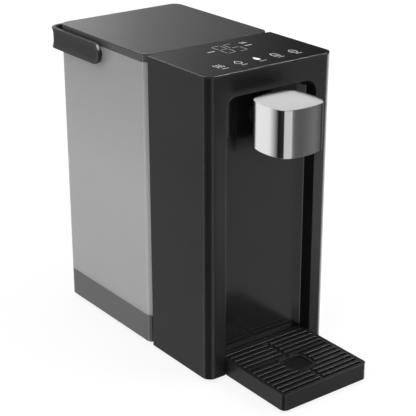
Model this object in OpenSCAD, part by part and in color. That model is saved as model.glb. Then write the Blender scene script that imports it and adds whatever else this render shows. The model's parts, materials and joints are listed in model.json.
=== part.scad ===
// Instant hot water dispenser with a lift-off water tank behind its casing.
// X runs across, Y runs from the drip tray back to the tank, Z is up. The origin is
// on the table, under the middle of the whole machine.

/* [Casing] */
// Width of the casing and the tank
casing_w = 130; // [128:1:145]
// Height of the casing from its lower edge to the top of the touch panel
casing_h = 265; // [262:1:285]
// Depth of the casing from its front to the joint with the tank
body_d = 83; // [82:1:95]
// Radius of the upright edges
corner_r = 9; // [8:0.5:11]
// Radius of the two upright edges beside the tank
rear_r = 2; // [1:0.5:2]
// Thickness of the casing's walls
wall = 2.4; // [2.2:0.1:2.6]
// Gap between the casing and the tank
seam_gap = 0.8; // [0.6:0.1:1.2]
// Thickness of the rear cover
cover_t = 2.5; // [2.2:0.1:3]
// Thickness of the base pan
pan_t = 2.5; // [2.2:0.1:2.6]
// Height of the rubber feet
foot_h = 3; // [2:0.5:5]
// Diameter of the rubber feet
foot_d = 14; // [12:1:18]

/* [Niche] */
// Width of the niche that the cup stands in
niche_w = 93; // [90:1:95]
// Distance from the top of the casing down to the niche
niche_drop = 20; // [19:1:22]
// Depth of the niche
niche_d = 12; // [11:0.5:13]
// Radius of the niche's upper corners
niche_r = 11; // [8:1:14]
// Thickness of the niche's back panel
panel_t = 2.4; // [2:0.1:3]

/* [Touch panel] */
// Thickness of the touch glass
glass_t = 2; // [1.5:0.1:3]
// Height of the frame under the glass
frame_h = 8; // [7:0.5:9]
// Distance between neighbouring touch keys
key_pitch = 19; // [16:0.5:20]
// Distance from the front of the casing to the row of touch keys
key_inset = 18.5; // [16:0.5:22]
// Thickness of the circuit boards
board_t = 1.6; // [1.2:0.1:2]

/* [Spout] */
// Width and depth of the square spout cover
spout_w = 49; // [44:1:52]
// Outward bow of each side of the spout cover
spout_bow = 4; // [3:0.5:5]
// Radius of the spout cover's upright edges
spout_r = 11.5; // [8:0.5:12]
// Height of the spout cover
spout_h = 40; // [36:1:44]
// Distance from the top of the casing down to the top of the spout cover
spout_drop = 24.5; // [23:0.5:28]
// Gap between the spout cover and the niche's back panel
spout_gap = 7; // [6:0.5:9]
// Wall thickness of the spout cover
spout_wall = 1.6; // [1.2:0.1:2]
// Diameter of the round neck that carries the spout
neck_d = 19; // [17:0.5:20]
// Outer diameter of the water nozzle
nozzle_d = 16; // [14:0.5:18]

/* [Drip tray] */
// Length of the drip tray in front of the casing
tray_out = 76; // [70:1:85]
// Height of the drip tray above the casing's lower edge
tray_h = 15; // [14:0.5:18]
// Thickness of the drip tray's walls
tray_wall = 2.2; // [2:0.1:2.5]
// Thickness of the drip tray's floor
tray_floor = 2; // [1.6:0.1:2.5]
// Radius of the drip tray's front corners
tray_r = 5; // [4:0.5:8]
// Gap round the drip tray in its niche
tray_gap = 0.5; // [0.4:0.1:0.8]
// Thickness of the grille
grille_t = 3; // [2.6:0.1:3.5]
// Distance from one slot of the grille to the next
slot_pitch = 6.2; // [5.8:0.1:6.6]
// Width of a slot in the grille
slot_w = 3; // [2.4:0.1:3.4]
// Width of the lifting hole in the grille
hole_w = 21; // [18:1:24]

/* [Water tank] */
// Depth of the tank
tank_d = 139; // [130:1:160]
// Thickness of the tank's walls
tank_wall = 2.6; // [2.4:0.1:2.8]
// Thickness of the tank's floor
tank_floor = 3; // [2.6:0.1:3.4]
// Height of the dock that the tank stands on
dock_h = 26.4; // [26:0.2:28]
// Gap between the dock and the tank's skirt
dock_gap = 1; // [0.8:0.1:1.2]
// Height of the lid's outer skirt, with its top plate
lid_h = 7; // [6.6:0.2:8]
// Thickness of the lid's top plate
lid_t = 2.4; // [2:0.1:2.8]
// Thickness of the lid's outer skirt
lid_skirt = 2.2; // [2:0.1:2.3]
// Thickness of the tank's rim inside the lid's skirt
rim_t = 2.1; // [1.9:0.1:2.3]
// Thickness of the soft seal inside the rim
seal_t = 2; // [1.8:0.1:2.2]

/* [Tank handle] */
// Width of the handle's flat strap
strap_w = 18.8; // [17:0.2:19.4]
// Thickness of the handle's strap
strap_t = 4; // [3.5:0.1:5]
// Gap between the strap and each side of the tank
arm_gap = 2.5; // [2.4:0.1:4]
// Gap between the strap and the back of the tank
back_gap = 6; // [6:0.5:9]
// Radius of the handle's two outer corners
handle_r = 12; // [10:0.5:14]
// Distance from the top of the machine down to the handle's pivots
pivot_drop = 13; // [13:0.5:15]
// Distance from the middle of the tank back to the handle's pivots
pivot_back = 3; // [0:0.5:6]
// Diameter of the handle's pivots
pivot_d = 8; // [7:0.5:8]

/* [Water path] */
// Outer diameter of the hoses
hose_d = 9; // [8.5:0.1:9.5]
// Bore of the hoses
hose_bore = 6; // [5.8:0.1:6.4]
// Diameter of the heater tube
heater_d = 26; // [24:1:28]
// Distance from the outlet port down to the top of the heater tube
heater_drop = 33.5; // [32:0.5:45]
// Diameter of the pump head
pump_d = 34; // [32:1:36]
// Diameter of the pump motor
motor_d = 27; // [25:1:29]
// Length of the pump motor
motor_l = 32; // [28:1:36]
// Diameter of the flow meter
meter_d = 24; // [24:0.5:26]
// Distance from the joint back to the middle of the tank's valve
valve_in = 30; // [28:1:36]
// Travel of the tank's valve
valve_travel = 3; // [2:0.5:4]
// Diameter of the level float
float_d = 18; // [16:1:20]

/* [Screws] */
// Diameter of the screws
screw_d = 3; // [2.8:0.1:3.1]
// Length of the screws under the head
screw_l = 10; // [9:0.5:10.5]
// Diameter of the screw heads
head_d = 6; // [5.4:0.1:6.2]
// Height of the screw heads
head_h = 2; // [1.6:0.1:2.2]

/* [Fits] */
// Clearance between fixed pieces
fit = 0.25; // [0.2:0.05:0.3]
// Clearance between pieces that move past each other
run_gap = 0.3; // [0.25:0.05:0.35]
// Radial clearance of a pin or a screw in its hole
pin_gap = 0.05; // [0.03:0.01:0.08]

/* [Hidden] */
$fn = 64;

// Overall places of the casing
half_w = casing_w / 2;
base_z = foot_h;
top_z = base_z + casing_h;
overall_d = tray_out + body_d + tank_d + back_gap + strap_t;
seam_y = overall_d / 2 - tank_d - back_gap - strap_t;
front_y = seam_y - body_d;
body_back = seam_y - seam_gap / 2;
panel_y = front_y + niche_d;
panel_back = panel_y + panel_t;
niche_top = top_z - niche_drop;
sleeve_top = top_z - glass_t;
frame_z = sleeve_top - frame_h;
pan_top = base_z + pan_t;
cover_front = body_back - cover_t;
inner_w = half_w - wall;
mid_y = (panel_back + cover_front) / 2;

// Frame and boards under the touch glass
frame_lip = 3;
board_ledge = 4;
board_z = frame_z + 1.6;
board_top = board_z + board_t;
frame_x = inner_w - fit;
frame_y0 = front_y + wall + fit;
recess_r = 3;
display_w = 50;
display_d = 27;
display_x = 2.5;

// Rim round the niche, and its screws
flange_w = 9.5;
panel_boss_x = niche_w / 2 + 5.5;
panel_screw_z = [base_z + 27, (base_z + niche_top) / 2, niche_top - 20];
boss_r = 3.5;

// Screw cups in the pan and in the rear cover, and the bosses behind them
cup_r = 5;
cup_h = 5;
cup_seat = head_h + 0.6;
pilot_r = screw_d / 2 + pin_gap;
pilot_l = screw_l - cup_h + cup_seat + 0.8;
wall_boss_r = 4;
wall_boss_l = 14;
boss_x = inner_w - fit - cup_r;
web_t = 3;
base_screw_y = [panel_back + 9, cover_front - 18];
cover_screw_z = [base_z + 37, (base_z + frame_z) / 2 + 19.5, frame_z - 13];

// Tank, dock and coupling
tank_front = seam_y + seam_gap / 2;
tank_back = seam_y + tank_d;
dock_x = half_w - tank_wall - dock_gap;
dock_back = tank_back - tank_wall - dock_gap;
dock_top = base_z + dock_h;
dock_boss_x = dock_x - wall - fit - cup_r;
dock_screw_y = [seam_y + 18, dock_back - 18];
skirt_z = base_z + 0.4;
floor_top = dock_top + tank_floor;
passage_x = 30;
passage_h = 21;
valve_y = seam_y + valve_in;
socket_r = 17;
seal_bore = 14.5;
throat_r = 11.5;
cup_z = base_z + 9;
seal_z = dock_top - 8.4;
barrel_r = 10;
valve_low = dock_top - 9.4;
seat_z = valve_low + 3;
poppet_z = seat_z + run_gap;
poppet_h = 3;
stem_low = poppet_z - 5;
valve_room = 4.6;
valve_top = floor_top + valve_room + valve_travel;
valve_bore = 7.5;
seat_bore = 4.5;
window_w = 5;
window_h = 2.6;
mesh_w = 1.8;
bridge_t = 2;
strainer_r = 13;
strainer_top = valve_top + 10;
valve_flange_r = 15;
valve_flange_t = 2;

// Lid, rim and seal, as distances in from the tank's outline
lid_low = top_z - lid_h;
rim_top = top_z - lid_t;
shoulder_top = lid_low - 0.2;
shoulder_t = 2.4;
rim_in = lid_skirt + run_gap;
seal_in = rim_in + rim_t + run_gap;
lip_in = seal_in + seal_t;
lip_t = 1.8;
lip_low = lid_low + 0.7;

// Handle and its pivots
pivot_y = seam_y + tank_d / 2 + pivot_back;
pivot_z = top_z - pivot_drop;
handle_x = half_w + arm_gap + strap_t;
handle_back = tank_back + back_gap + strap_t;
pivot_r = pivot_d / 2;
disc_out = 2;
pivot_depth = 5;
socket_wall = 1.55;

// Drip tray and grille
tray_front = front_y - tray_out;
tray_back = panel_y - tray_gap;
tray_x = niche_w / 2 - tray_gap;
tray_top = base_z + tray_h;
grille_z = tray_top - grille_t;
grille_in = tray_wall + run_gap;
grille_border = 1.2;
grille_x = tray_x - grille_in;
grille_front = tray_front + grille_in;
grille_back = tray_back - grille_in;
slot_first = floor((grille_back - grille_border - front_y + 1.5) / slot_pitch);
slot_last = floor((front_y - 1.5 - slot_w - grille_front - 0.6) / slot_pitch);
slot_y = [for (i = [-slot_last : slot_first]) front_y - 1.5 + i * slot_pitch - slot_w];
hole_y = front_y - 38.7;
hole_d = hole_w - 1;
hole_ring = 3;
groove_d = 1.5;
web_w = 3.5;
lug_x = 28;
lug_w = 10;
lug_h = 3;
lug_out = 2.4;
lug_z = base_z + 3.5;
pad_r = 4;

// Spout: bowed sides as arcs, joined by small arcs at the edges
spout_half = spout_w / 2;
bow_r = (pow(spout_half - spout_bow, 2) + pow(spout_bow, 2)) / (2 * spout_bow);
spout_top = top_z - spout_drop;
spout_z = spout_top - spout_h;
spout_y = panel_y - spout_gap - spout_half;
spout_mid = spout_top - spout_h / 2;
neck_r = neck_d / 2;
nozzle_r = nozzle_d / 2;
underside_t = 2;
nozzle_out = 4;
manifold_x = 20;
manifold_t = 2;
manifold_back = panel_back + 25;
manifold_z0 = spout_mid - 18;
manifold_z1 = spout_mid + 16;
port_z = spout_mid + 6;
port_y = panel_back + 12;

// Water path inside the casing
hose_r = hose_d / 2;
bore_r = hose_bore / 2;
barb_r = bore_r - pin_gap;
barb_bore = barb_r - 1;
barb_l = 8;
heater_r = heater_d / 2;
cap_r = heater_r + 2;
heater_gap = 0.35;
heater_x = -(boss_x - wall_boss_r - cap_r - heater_gap);
heater_z = base_z + 67;
heater_top = port_z - heater_drop;
heater_mid = (heater_z + heater_top) / 2;
feed_z = heater_z - 5;
sensor_z = heater_top + 4;
heater_wall = 1;
cap_h = 16;
cap_over = 4;
cap_room_r = 9;
core_pin_r = 4;
cutout_r = 8;
cutout_l = 8;
cutout_step = 13;
clip_z = [heater_z + 25, heater_top - 25];
clip_h = 10;
clip_t = 3;
pump_z = base_z + 27;
pump_r = pump_d / 2;
pump_half = 7;
pump_cover_t = 3;
barb_gap = 1;
pump_x = heater_x + meter_d / 2 + 2 * barb_l + barb_gap + pump_cover_t + pump_half;
impeller_r = pump_r - 5;
motor_r = motor_d / 2;
shaft_r = 1.5;
motor_x0 = pump_x + pump_half;
motor_x1 = motor_x0 + motor_l;
meter_r = meter_d / 2;
meter_z = pump_z;
meter_half = 8;
meter_seam = meter_z + 5;
axle_r = 1;
axle_room = 6.8;
rotor_h = 8;
vane_t = 1.2;
suction_z = base_z + 14;

// Boards
standoff = 6;
power_x0 = 2;
power_x1 = 48;
power_z0 = base_z + 92;
power_z1 = power_z0 + 110;
power_back = cover_front - standoff;
power_front = power_back - board_t;
power_screws = [for (x = [power_x0 + 4, power_x1 - 4], z = [power_z0 + 4, power_z1 - 4]) [x, z]];
ribbon_x = 14;
ribbon_y = power_front - 5;
ribbon_half = 6;
ribbon_t = 0.8;
plug_half = 7;
plug_low = power_z1 - 16;
plug_top = power_z1 - 8;
sink_x0 = power_x0 + 6;
sink_z0 = power_z0 + 18;
sink_w = 26;
sink_d = 20;
sink_base = 4;
fin_t = 2.4;
fin_gap = 3.2;
fin_pitch = 6;
coil_x1 = power_x1 - 4;
coil_z0 = power_z0 + 62;
coil_w = 22;
coil_d = 18;
can_x = power_x0 + 10;
can_z = [power_z0 + 66, power_z0 + 82];
can_r = 6;
can_l = 20;
float_r = float_d / 2;
float_side = 11.4;
float_x = half_w - tank_wall - float_side - float_r;
float_y = tank_front + tank_wall + 14;
sensor_half = 9;
sensor_t = 5;
sensor_low = floor_top + 14;
sensor_h = 16;
float_stem = 2.5;
float_h = 15;
float_rise = 9.5;
guide_flange = 2;
guide_cap_r = 5;

foot_x = 42;
peg_r = 3;
dock_r = max(corner_r - tank_wall - dock_gap, 1);
display_y = body_back - 23.3;
gland_z = base_z + 10;
gland_r = 5;
gland_bore = 3.2;
gland_l = 11;
gland_lip = 2;
notch_r = gland_r + 3;
drop_r = 6.5;
ring_r = (seal_bore - barrel_r) / 2 - 0.25;
sensor_r = 2;
lead_r = 1.3;
lead_x = 27;
lead_step = 5;
lead_gap = 2.5;
lead_y = power_front - lead_gap;
lead_z = power_z0 + 10;
lead_turn = -10;
gland_back = dock_back - wall - 2;
disc_r = strap_w / 2 - 0.4;
disc_half = (disc_out + 1) / 2;
disc_mid = half_w - 1 + disc_half;
hole_half = (disc_out + pivot_depth + 1) / 2;
hole_mid = half_w + disc_out + 0.5 - hole_half + 0.5;
socket_out = pivot_r + socket_wall;
socket_half = 3;
socket_mid = half_w - tank_wall + 1 - socket_half;
stub_half = (arm_gap + pivot_depth) / 2;
stub_mid = handle_x - strap_t + 0.5 - stub_half;
guide_r = 2;
spring_r = 4.4;
spring_wire = 0.5;
spring_turns = 6;
ledge_w = 1.8;
float_z = floor_top + guide_flange + run_gap;
guide_top = float_z + float_h + float_rise + run_gap;

function unit(v) = v / norm(v);
function last(p) = len(p) - 1;

// Same points with both ends drawn out by one millimetre
function stretched(p) = concat([p[0] - unit(p[1] - p[0])],
    [for (i = [1 : 1 : last(p) - 1]) p[i]],
    [p[last(p)] + unit(p[last(p)] - p[last(p) - 1])]);

module box(x0, x1, y0, y1, z0, z1) translate([x0, y0, z0]) cube([x1 - x0, y1 - y0, z1 - z0]);
module rod_x(x0, x1, y, z, r) translate([x0, y, z]) rotate([0, 90, 0]) cylinder(h = x1 - x0, r = r);
module rod_y(x, y0, y1, z, r) translate([x, y1, z]) rotate([90, 0, 0]) cylinder(h = y1 - y0, r = r);
module rod_z(x, y, z0, z1, r) translate([x, y, z0]) cylinder(h = z1 - z0, r = r);

// Plan outlines given height, and front outlines given depth
module slab(z0, z1) translate([0, 0, z0]) linear_extrude(z1 - z0) children();
module upright(y0, y1) translate([0, y1, 0]) rotate([90, 0, 0]) linear_extrude(y1 - y0) children();

// Plan outline of half width x, with front corners of radius rf and rear ones of rb
module plan(x, y0, y1, rf, rb) {
    translate([-x + rf, y0]) square([2 * (x - rf), rf]);
    translate([-x, y0 + rf]) square([2 * x, y1 - y0 - rf - rb]);
    translate([-x + rb, y1 - rb]) square([2 * (x - rb), rb]);
    for (s = [-1, 1]) {
        translate([s * (x - rf), y0 + rf]) circle(rf);
        translate([s * (x - rb), y1 - rb]) circle(rb);
    }
}

// Inside of the casing in plan, drawn in by an inset and open at the rear
module bay(inset, y1) {
    x = inner_w - inset;
    y0 = front_y + wall + inset;
    rf = max(corner_r - wall - inset, 0.5);
    translate([-x + rf, y0]) square([2 * (x - rf), rf]);
    translate([-x, y0 + rf]) square([2 * x, y1 - y0 - rf]);
    for (s = [-1, 1]) translate([s * (x - rf), y0 + rf]) circle(rf);
}

// Niche seen from the front, drawn out by grow, from height z0 up
module niche(grow, z0) {
    x = niche_w / 2 + grow;
    r = niche_r + grow;
    z1 = niche_top + grow;
    translate([-x, z0]) square([2 * x, z1 - r - z0]);
    translate([-x + r, z1 - r]) square([2 * (x - r), r]);
    for (s = [-1, 1]) translate([s * (x - r), z1 - r]) circle(r);
}

module tank_plan(inset) {
    r = max(corner_r - inset, 0.5);
    plan(half_w - inset, tank_front + inset, tank_back - inset, r, r);
}

// Spout cover in plan about its own middle, drawn in by an inset: four bowed sides
// joined by small arcs that meet them smoothly
module spout_plan(inset) {
    r = bow_r - inset;
    e = max(spout_r - inset, 0.8);
    m = bow_r - spout_half;
    n = r - e;
    k = (sqrt(2 * n * n - m * m) - m) / 2;
    d = (2 * k + m) * r / n - m;
    intersection() {
        translate([-m, 0]) circle(r);
        translate([m, 0]) circle(r);
        translate([0, -m]) circle(r);
        translate([0, m]) circle(r);
        polygon([[d, 0], [0, d], [-d, 0], [0, -d]]);
    }
    for (x = [-k, k], y = [-k, k]) translate([x, y]) circle(e);
}

// Round bar along a list of points, rounded at each corner
module bar(points, r) {
    for (i = [0 : last(points) - 1]) {
        v = points[i + 1] - points[i];
        turn = [0, acos(v[2] / norm(v)), atan2(v[1], v[0])];
        translate(points[i]) rotate(turn) cylinder(h = norm(v), r = r);
        if (i > 0) translate(points[i]) sphere(r);
    }
}

module hose(points) color("#d9d9d4") difference() {
    bar(points, hose_r);
    bar(stretched(points), bore_r);
}

// Web that joins a screw boss at x0 to the wall at x1, on the side that s names
module wall_web(s, x0, x1, y, depth, z0, z1)
    box(min(s * x0, s * (x1 + 0.3)), max(s * x0, s * (x1 + 0.3)),
        y - depth / 2, y + depth / 2, z0, z1);

// Cup that hides a screw head, standing on its open face
module cup() cylinder(h = cup_h, r = cup_r);

// Room for a screw head and its shank through a cup
module cup_hole() {
    translate([0, 0, -1]) cylinder(h = cup_seat + 1, r = head_d / 2 + 0.4);
    cylinder(h = cup_h + 1, r = screw_d / 2 + 0.3);
}

// Screw with its head's seat at the origin and its shank up along Z
module screw() {
    translate([0, 0, -head_h]) cylinder(h = head_h, r = head_d / 2);
    cylinder(h = screw_l, r = screw_d / 2);
}

// Where cups and screws stand: under the pan, behind the rear cover, and behind
// the niche's panel and in front of the power board
module at_base() for (x = [-boss_x, boss_x], y = base_screw_y) translate([x, y, base_z]) children();
module at_dock() for (x = [-dock_boss_x, dock_boss_x], y = dock_screw_y)
    translate([x, y, base_z]) children();
module at_cover() {
    for (x = [-boss_x, boss_x], z = cover_screw_z)
        translate([x, body_back, z]) rotate([90, 0, 0]) children();
    for (z = clip_z) translate([heater_x, body_back, z]) rotate([90, 0, 0]) children();
}
module at_panel() for (x = [-panel_boss_x, panel_boss_x], z = panel_screw_z)
    translate([x, panel_back, z]) rotate([90, 0, 0]) children();
module at_board() for (p = power_screws)
    translate([p[0], power_front, p[1]]) rotate([-90, 0, 0]) children();
module at_feet() {
    for (x = [-foot_x, foot_x], y = [panel_back + 12, dock_back - 14]) translate([x, y, 0]) children();
}

module outer_housing() color("#343434") difference() {
    union() {
        difference() {
            slab(base_z, sleeve_top) plan(half_w, front_y, body_back, corner_r, rear_r);
            slab(base_z - 1, sleeve_top + 1) bay(0, body_back + 1);
            upright(front_y - 1, front_y + wall + 1) niche(0, base_z - 1);
        }
        upright(front_y + wall / 2, panel_y) difference() {
            niche(wall, base_z);
            niche(0, base_z - 1);
        }
        upright(panel_y - wall, panel_y) difference() {
            niche(flange_w, base_z);
            niche(0, base_z - 1);
        }
        slab(frame_z - wall, frame_z) difference() {
            bay(-0.2, cover_front - fit);
            bay(frame_lip, cover_front + 1);
        }
        translate([0, 0, cup_h]) at_base() cylinder(h = wall_boss_l, r = wall_boss_r);
        for (s = [-1, 1], y = base_screw_y)
            wall_web(s, boss_x, inner_w, y, web_t, base_z + cup_h, base_z + cup_h + wall_boss_l);
        for (x = [-boss_x, boss_x], z = cover_screw_z)
            rod_y(x, body_back - cup_h - wall_boss_l, body_back - cup_h, z, wall_boss_r);
        for (s = [-1, 1], z = cover_screw_z)
            wall_web(s, boss_x, inner_w, body_back - cup_h - wall_boss_l / 2, wall_boss_l,
                z - web_t / 2, z + web_t / 2);
        for (x = [-panel_boss_x, panel_boss_x], z = panel_screw_z)
            rod_y(x, front_y + wall + 0.4, panel_y, z, boss_r);
    }
    translate([0, 0, cup_h - 1]) at_base() cylinder(h = pilot_l + 1, r = pilot_r);
    for (x = [-boss_x, boss_x], z = cover_screw_z)
        rod_y(x, body_back - cup_h - pilot_l, body_back - cup_h + 1, z, pilot_r);
    for (x = [-panel_boss_x, panel_boss_x], z = panel_screw_z)
        rod_y(x, panel_back - screw_l - 0.6, panel_y + 1, z, pilot_r);
}

module front_panel() color("#242424") difference() {
    upright(panel_y, panel_back) niche(flange_w, base_z);
    rod_y(0, panel_y - 1, panel_back + 1, spout_mid, neck_r + fit);
    translate([0, -1, 0]) at_panel() cylinder(h = panel_t + 3, r = screw_d / 2 + 0.3, center = true);
    for (s = [-1, 1])
        box(s * lug_x - lug_w / 2 - tray_gap, s * lug_x + lug_w / 2 + tray_gap,
            panel_y - 1, panel_back + 1, lug_z - tray_gap, lug_z + lug_h + tray_gap);
}

module top_frame() color("#2b2b2b") difference() {
    slab(frame_z, sleeve_top) plan(frame_x, frame_y0, body_back, corner_r - wall - fit, 0.5);
    slab(board_z, sleeve_top + 1)
        plan(frame_x - frame_lip, frame_y0 + frame_lip, body_back - frame_lip, recess_r, recess_r);
    slab(frame_z - 1, sleeve_top)
        plan(frame_x - frame_lip - board_ledge, frame_y0 + frame_lip + board_ledge,
            body_back - frame_lip - board_ledge, recess_r, recess_r);
}

module touch_panel() color("#101112")
    slab(sleeve_top, top_z) plan(half_w, front_y, body_back, corner_r, rear_r);

module touch_board() color("#1e4d2f") slab(board_z, board_top)
    plan(frame_x - frame_lip - fit, frame_y0 + frame_lip + fit, body_back - frame_lip - fit,
        recess_r, recess_r);

module touch_pads() color("#3d3d3d")
    for (i = [-2 : 2]) rod_z(i * key_pitch, front_y + key_inset, board_top, sleeve_top, 5);

module display_module() color("#161616")
    box(display_x - display_w / 2, display_x + display_w / 2,
        display_y - display_d / 2, display_y + display_d / 2, board_top, sleeve_top - 0.2);

module base_pan() color("#2a2a2a") difference() {
    union() {
        box(-frame_x, frame_x, panel_back + fit, body_back, base_z, pan_top);
        slab(base_z, pan_top) plan(dock_x, body_back - 1, dock_back, 0.5, dock_r);
        at_base() cup();
        at_dock() cup();
        rod_z(heater_x, mid_y, base_z, meter_z - meter_half, 6);
        rod_z(0, valve_y, base_z, cup_z, 10);
    }
    at_base() cup_hole();
    at_dock() cup_hole();
    rod_z(0, valve_y, base_z - 1, cup_z + 1, 8);
    at_feet() cylinder(h = pan_top + 1, r = peg_r + pin_gap);
}

module rubber_feet() color("#1b1b1b") at_feet() {
    translate([0, 0, 1]) cylinder(h = foot_h - 1, r = foot_d / 2);
    cylinder(h = 1, r1 = foot_d / 2 - 1, r2 = foot_d / 2);
    cylinder(h = pan_top, r = peg_r);
}

module rear_cover() color("#2f2f2f") difference() {
    union() {
        box(-frame_x, frame_x, cover_front, body_back, pan_top, frame_z);
        at_cover() cup();
        for (p = power_screws) rod_y(p[0], power_back, cover_front + 1, p[1], boss_r);
    }
    at_cover() cup_hole();
    box(-passage_x, passage_x, cover_front - 1, body_back + 1, pan_top - 1, pan_top + passage_h);
    for (p = power_screws) rod_y(p[0], power_back - 1, power_front + screw_l + 0.4, p[1], pilot_r);
}

module dock_cover() color("#2f2f2f") difference() {
    union() {
        difference() {
            slab(pan_top, dock_top) plan(dock_x, body_back, dock_back, 0.5, dock_r);
            slab(pan_top - 1, dock_top - wall)
                plan(dock_x - wall, body_back + wall, dock_back - wall, 0.5, max(dock_r - wall, 0.5));
        }
        for (x = [-dock_boss_x, dock_boss_x], y = dock_screw_y)
            rod_z(x, y, base_z + cup_h, dock_top - 1, wall_boss_r);
        for (s = [-1, 1], y = dock_screw_y)
            wall_web(s, dock_boss_x, dock_x - wall, y, web_t, base_z + cup_h, dock_top - 1);
    }
    box(-passage_x, passage_x, body_back - 1, body_back + wall + 1, pan_top - 1, pan_top + passage_h);
    rod_z(0, valve_y, dock_top - wall - 1, dock_top + 1, socket_r + fit);
    rod_y(0, dock_back - wall - 1, dock_back + 1, gland_z, gland_r + pin_gap);
    for (x = [-dock_boss_x, dock_boss_x], y = dock_screw_y)
        rod_z(x, y, base_z + cup_h - 1, base_z + cup_h + pilot_l, pilot_r);
}

module casing_screws() color("#b8b8b8") {
    translate([0, 0, cup_seat]) at_base() screw();
    translate([0, 0, cup_seat]) at_dock() screw();
    translate([0, -cup_seat, 0]) at_cover() screw();
    at_panel() screw();
    at_board() screw();
}

module cord_gland() color("#1b1b1b") difference() {
    union() {
        rod_y(0, gland_back, dock_back + gland_l, gland_z, gland_r);
        rod_y(0, gland_back, dock_back - wall, gland_z, gland_r + gland_lip);
        rod_y(0, dock_back, dock_back + gland_lip, gland_z, gland_r + gland_lip);
    }
    rod_y(0, gland_back - 1, dock_back + gland_l + 1, gland_z, gland_bore);
}

module spout_cover() color("#c9c9c9") difference() {
    translate([0, spout_y, 0]) slab(spout_z, spout_top) spout_plan(0);
    translate([0, spout_y, 0]) slab(spout_z - 1, spout_top - spout_wall) spout_plan(spout_wall);
    rod_y(0, spout_y, spout_y + spout_half + 1, spout_mid, neck_r + pin_gap);
    box(-neck_r - pin_gap, neck_r + pin_gap, spout_y, spout_y + spout_half + 1, spout_z - 1, spout_mid);
}

module spout_underside() color("#2b2b2b") difference() {
    translate([0, spout_y, 0]) slab(spout_z + 0.5, spout_z + 0.5 + underside_t)
        spout_plan(spout_wall + fit);
    rod_z(0, spout_y, spout_z - 1, spout_z + underside_t + 2, nozzle_r + fit);
}

module outlet_nozzle() color("#c8c8c8") difference() {
    rod_z(0, spout_y, spout_z - nozzle_out, spout_z + 10, nozzle_r);
    rod_z(0, spout_y, spout_z - nozzle_out - 1, spout_z + 3, drop_r - 2.5);
    rod_z(0, spout_y, spout_z + 2, spout_z + 11, drop_r + pin_gap);
}

module outlet_manifold() color("#e4e2dc") difference() {
    union() {
        box(-manifold_x, manifold_x, panel_back, manifold_back, manifold_z0, manifold_z1);
        rod_y(0, spout_y - drop_r - 2, panel_back + 1, spout_mid, neck_r);
        rod_z(0, spout_y, spout_z + 2, spout_mid, drop_r);
        rod_x(-manifold_x - barb_l, -manifold_x + 1, port_y, port_z, barb_r);
    }
    box(-manifold_x + manifold_t, manifold_x - manifold_t, panel_back + manifold_t,
        manifold_back - manifold_t, manifold_z0 + manifold_t, manifold_z1 - manifold_t);
    rod_y(0, spout_y - drop_r, panel_back + 3, spout_mid, neck_r - 3);
    rod_z(0, spout_y, spout_z + 1, spout_mid, drop_r - 2.5);
    rod_x(-manifold_x - barb_l - 1, -manifold_x + 3, port_y, port_z, barb_bore);
}

module coupling_socket() color("#e4e2dc") {
    difference() {
        union() {
            rod_z(0, valve_y, cup_z, dock_top, socket_r);
            rod_z(0, valve_y, dock_top - wall - 2, dock_top - wall, socket_r + 4);
            rod_y(0, valve_y - socket_r - barb_l, valve_y - socket_r + 1, suction_z, barb_r);
        }
        rod_z(0, valve_y, seal_z, dock_top + 1, seal_bore);
        rod_z(0, valve_y, cup_z + 2.5, seal_z + 1, throat_r);
        rod_y(0, valve_y - socket_r - barb_l - 1, valve_y - 9, suction_z, barb_bore);
    }
    rod_z(0, valve_y, cup_z + 2, stem_low - run_gap, float_stem);
}

module coupling_seal() color("#8f2f28") translate([0, valve_y, seal_z + ring_r + pin_gap])
    rotate_extrude() translate([(barrel_r + seal_bore) / 2, 0]) circle(ring_r);

module suction_hose() hose([[0, valve_y - socket_r - 0.2, suction_z], [0, cover_front - 8, suction_z],
    [heater_x, cover_front - 8, suction_z], [heater_x, cover_front - 8, meter_z],
    [heater_x, mid_y + meter_r + 0.2, meter_z]]);

module flow_meter_body() color("#e9e9e4") difference() {
    union() {
        rod_z(heater_x, mid_y, meter_z - meter_half, meter_seam, meter_r);
        rod_y(heater_x, mid_y + meter_r - 1, mid_y + meter_r + barb_l, meter_z, barb_r);
        rod_x(heater_x + meter_r - 1, heater_x + meter_r + barb_l, mid_y, meter_z, barb_r);
    }
    rod_z(heater_x, mid_y, meter_z - 5, meter_seam + 1, meter_r - 2);
    rod_y(heater_x, mid_y + meter_r - 3, mid_y + meter_r + barb_l + 1, meter_z, barb_bore);
    rod_x(heater_x + meter_r - 3, heater_x + meter_r + barb_l + 1, mid_y, meter_z, barb_bore);
    rod_z(heater_x, mid_y, meter_z - axle_room, meter_z, axle_r + pin_gap);
}

module flow_meter_cap() color("#e9e9e4") difference() {
    rod_z(heater_x, mid_y, meter_seam, meter_z + meter_half, meter_r);
    rod_z(heater_x, mid_y, meter_seam - 1, meter_z + axle_room, axle_r + pin_gap);
}

module flow_meter_rotor() color("#3a6ea5") translate([heater_x, mid_y, meter_z]) {
    cylinder(h = 2 * axle_room - 0.4, r = axle_r, center = true);
    cylinder(h = rotor_h, r = 2.5, center = true);
    for (a = [0 : 60 : 300]) rotate([0, 0, a]) translate([1.5, -vane_t / 2, -rotor_h / 2])
        cube([meter_r - 5, vane_t, rotor_h]);
}

module meter_hose() hose([[heater_x + meter_r + 0.2, mid_y, meter_z],
    [pump_x - pump_half - pump_cover_t - 0.2, mid_y, pump_z]]);

module pump_housing() color("#3b3b3d") difference() {
    union() {
        rod_x(pump_x - pump_half, pump_x + pump_half, mid_y, pump_z, pump_r);
        rod_z(pump_x, mid_y, pump_z + pump_r - 2, pump_z + pump_r + barb_l, barb_r);
    }
    rod_x(pump_x - pump_half - 1, pump_x + pump_half - 3, mid_y, pump_z, pump_r - 3);
    rod_x(pump_x, motor_x0 + 1, mid_y, pump_z, shaft_r + pin_gap);
    rod_z(pump_x, mid_y, pump_z + pump_r - 5, pump_z + pump_r + barb_l + 1, barb_bore);
}

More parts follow.
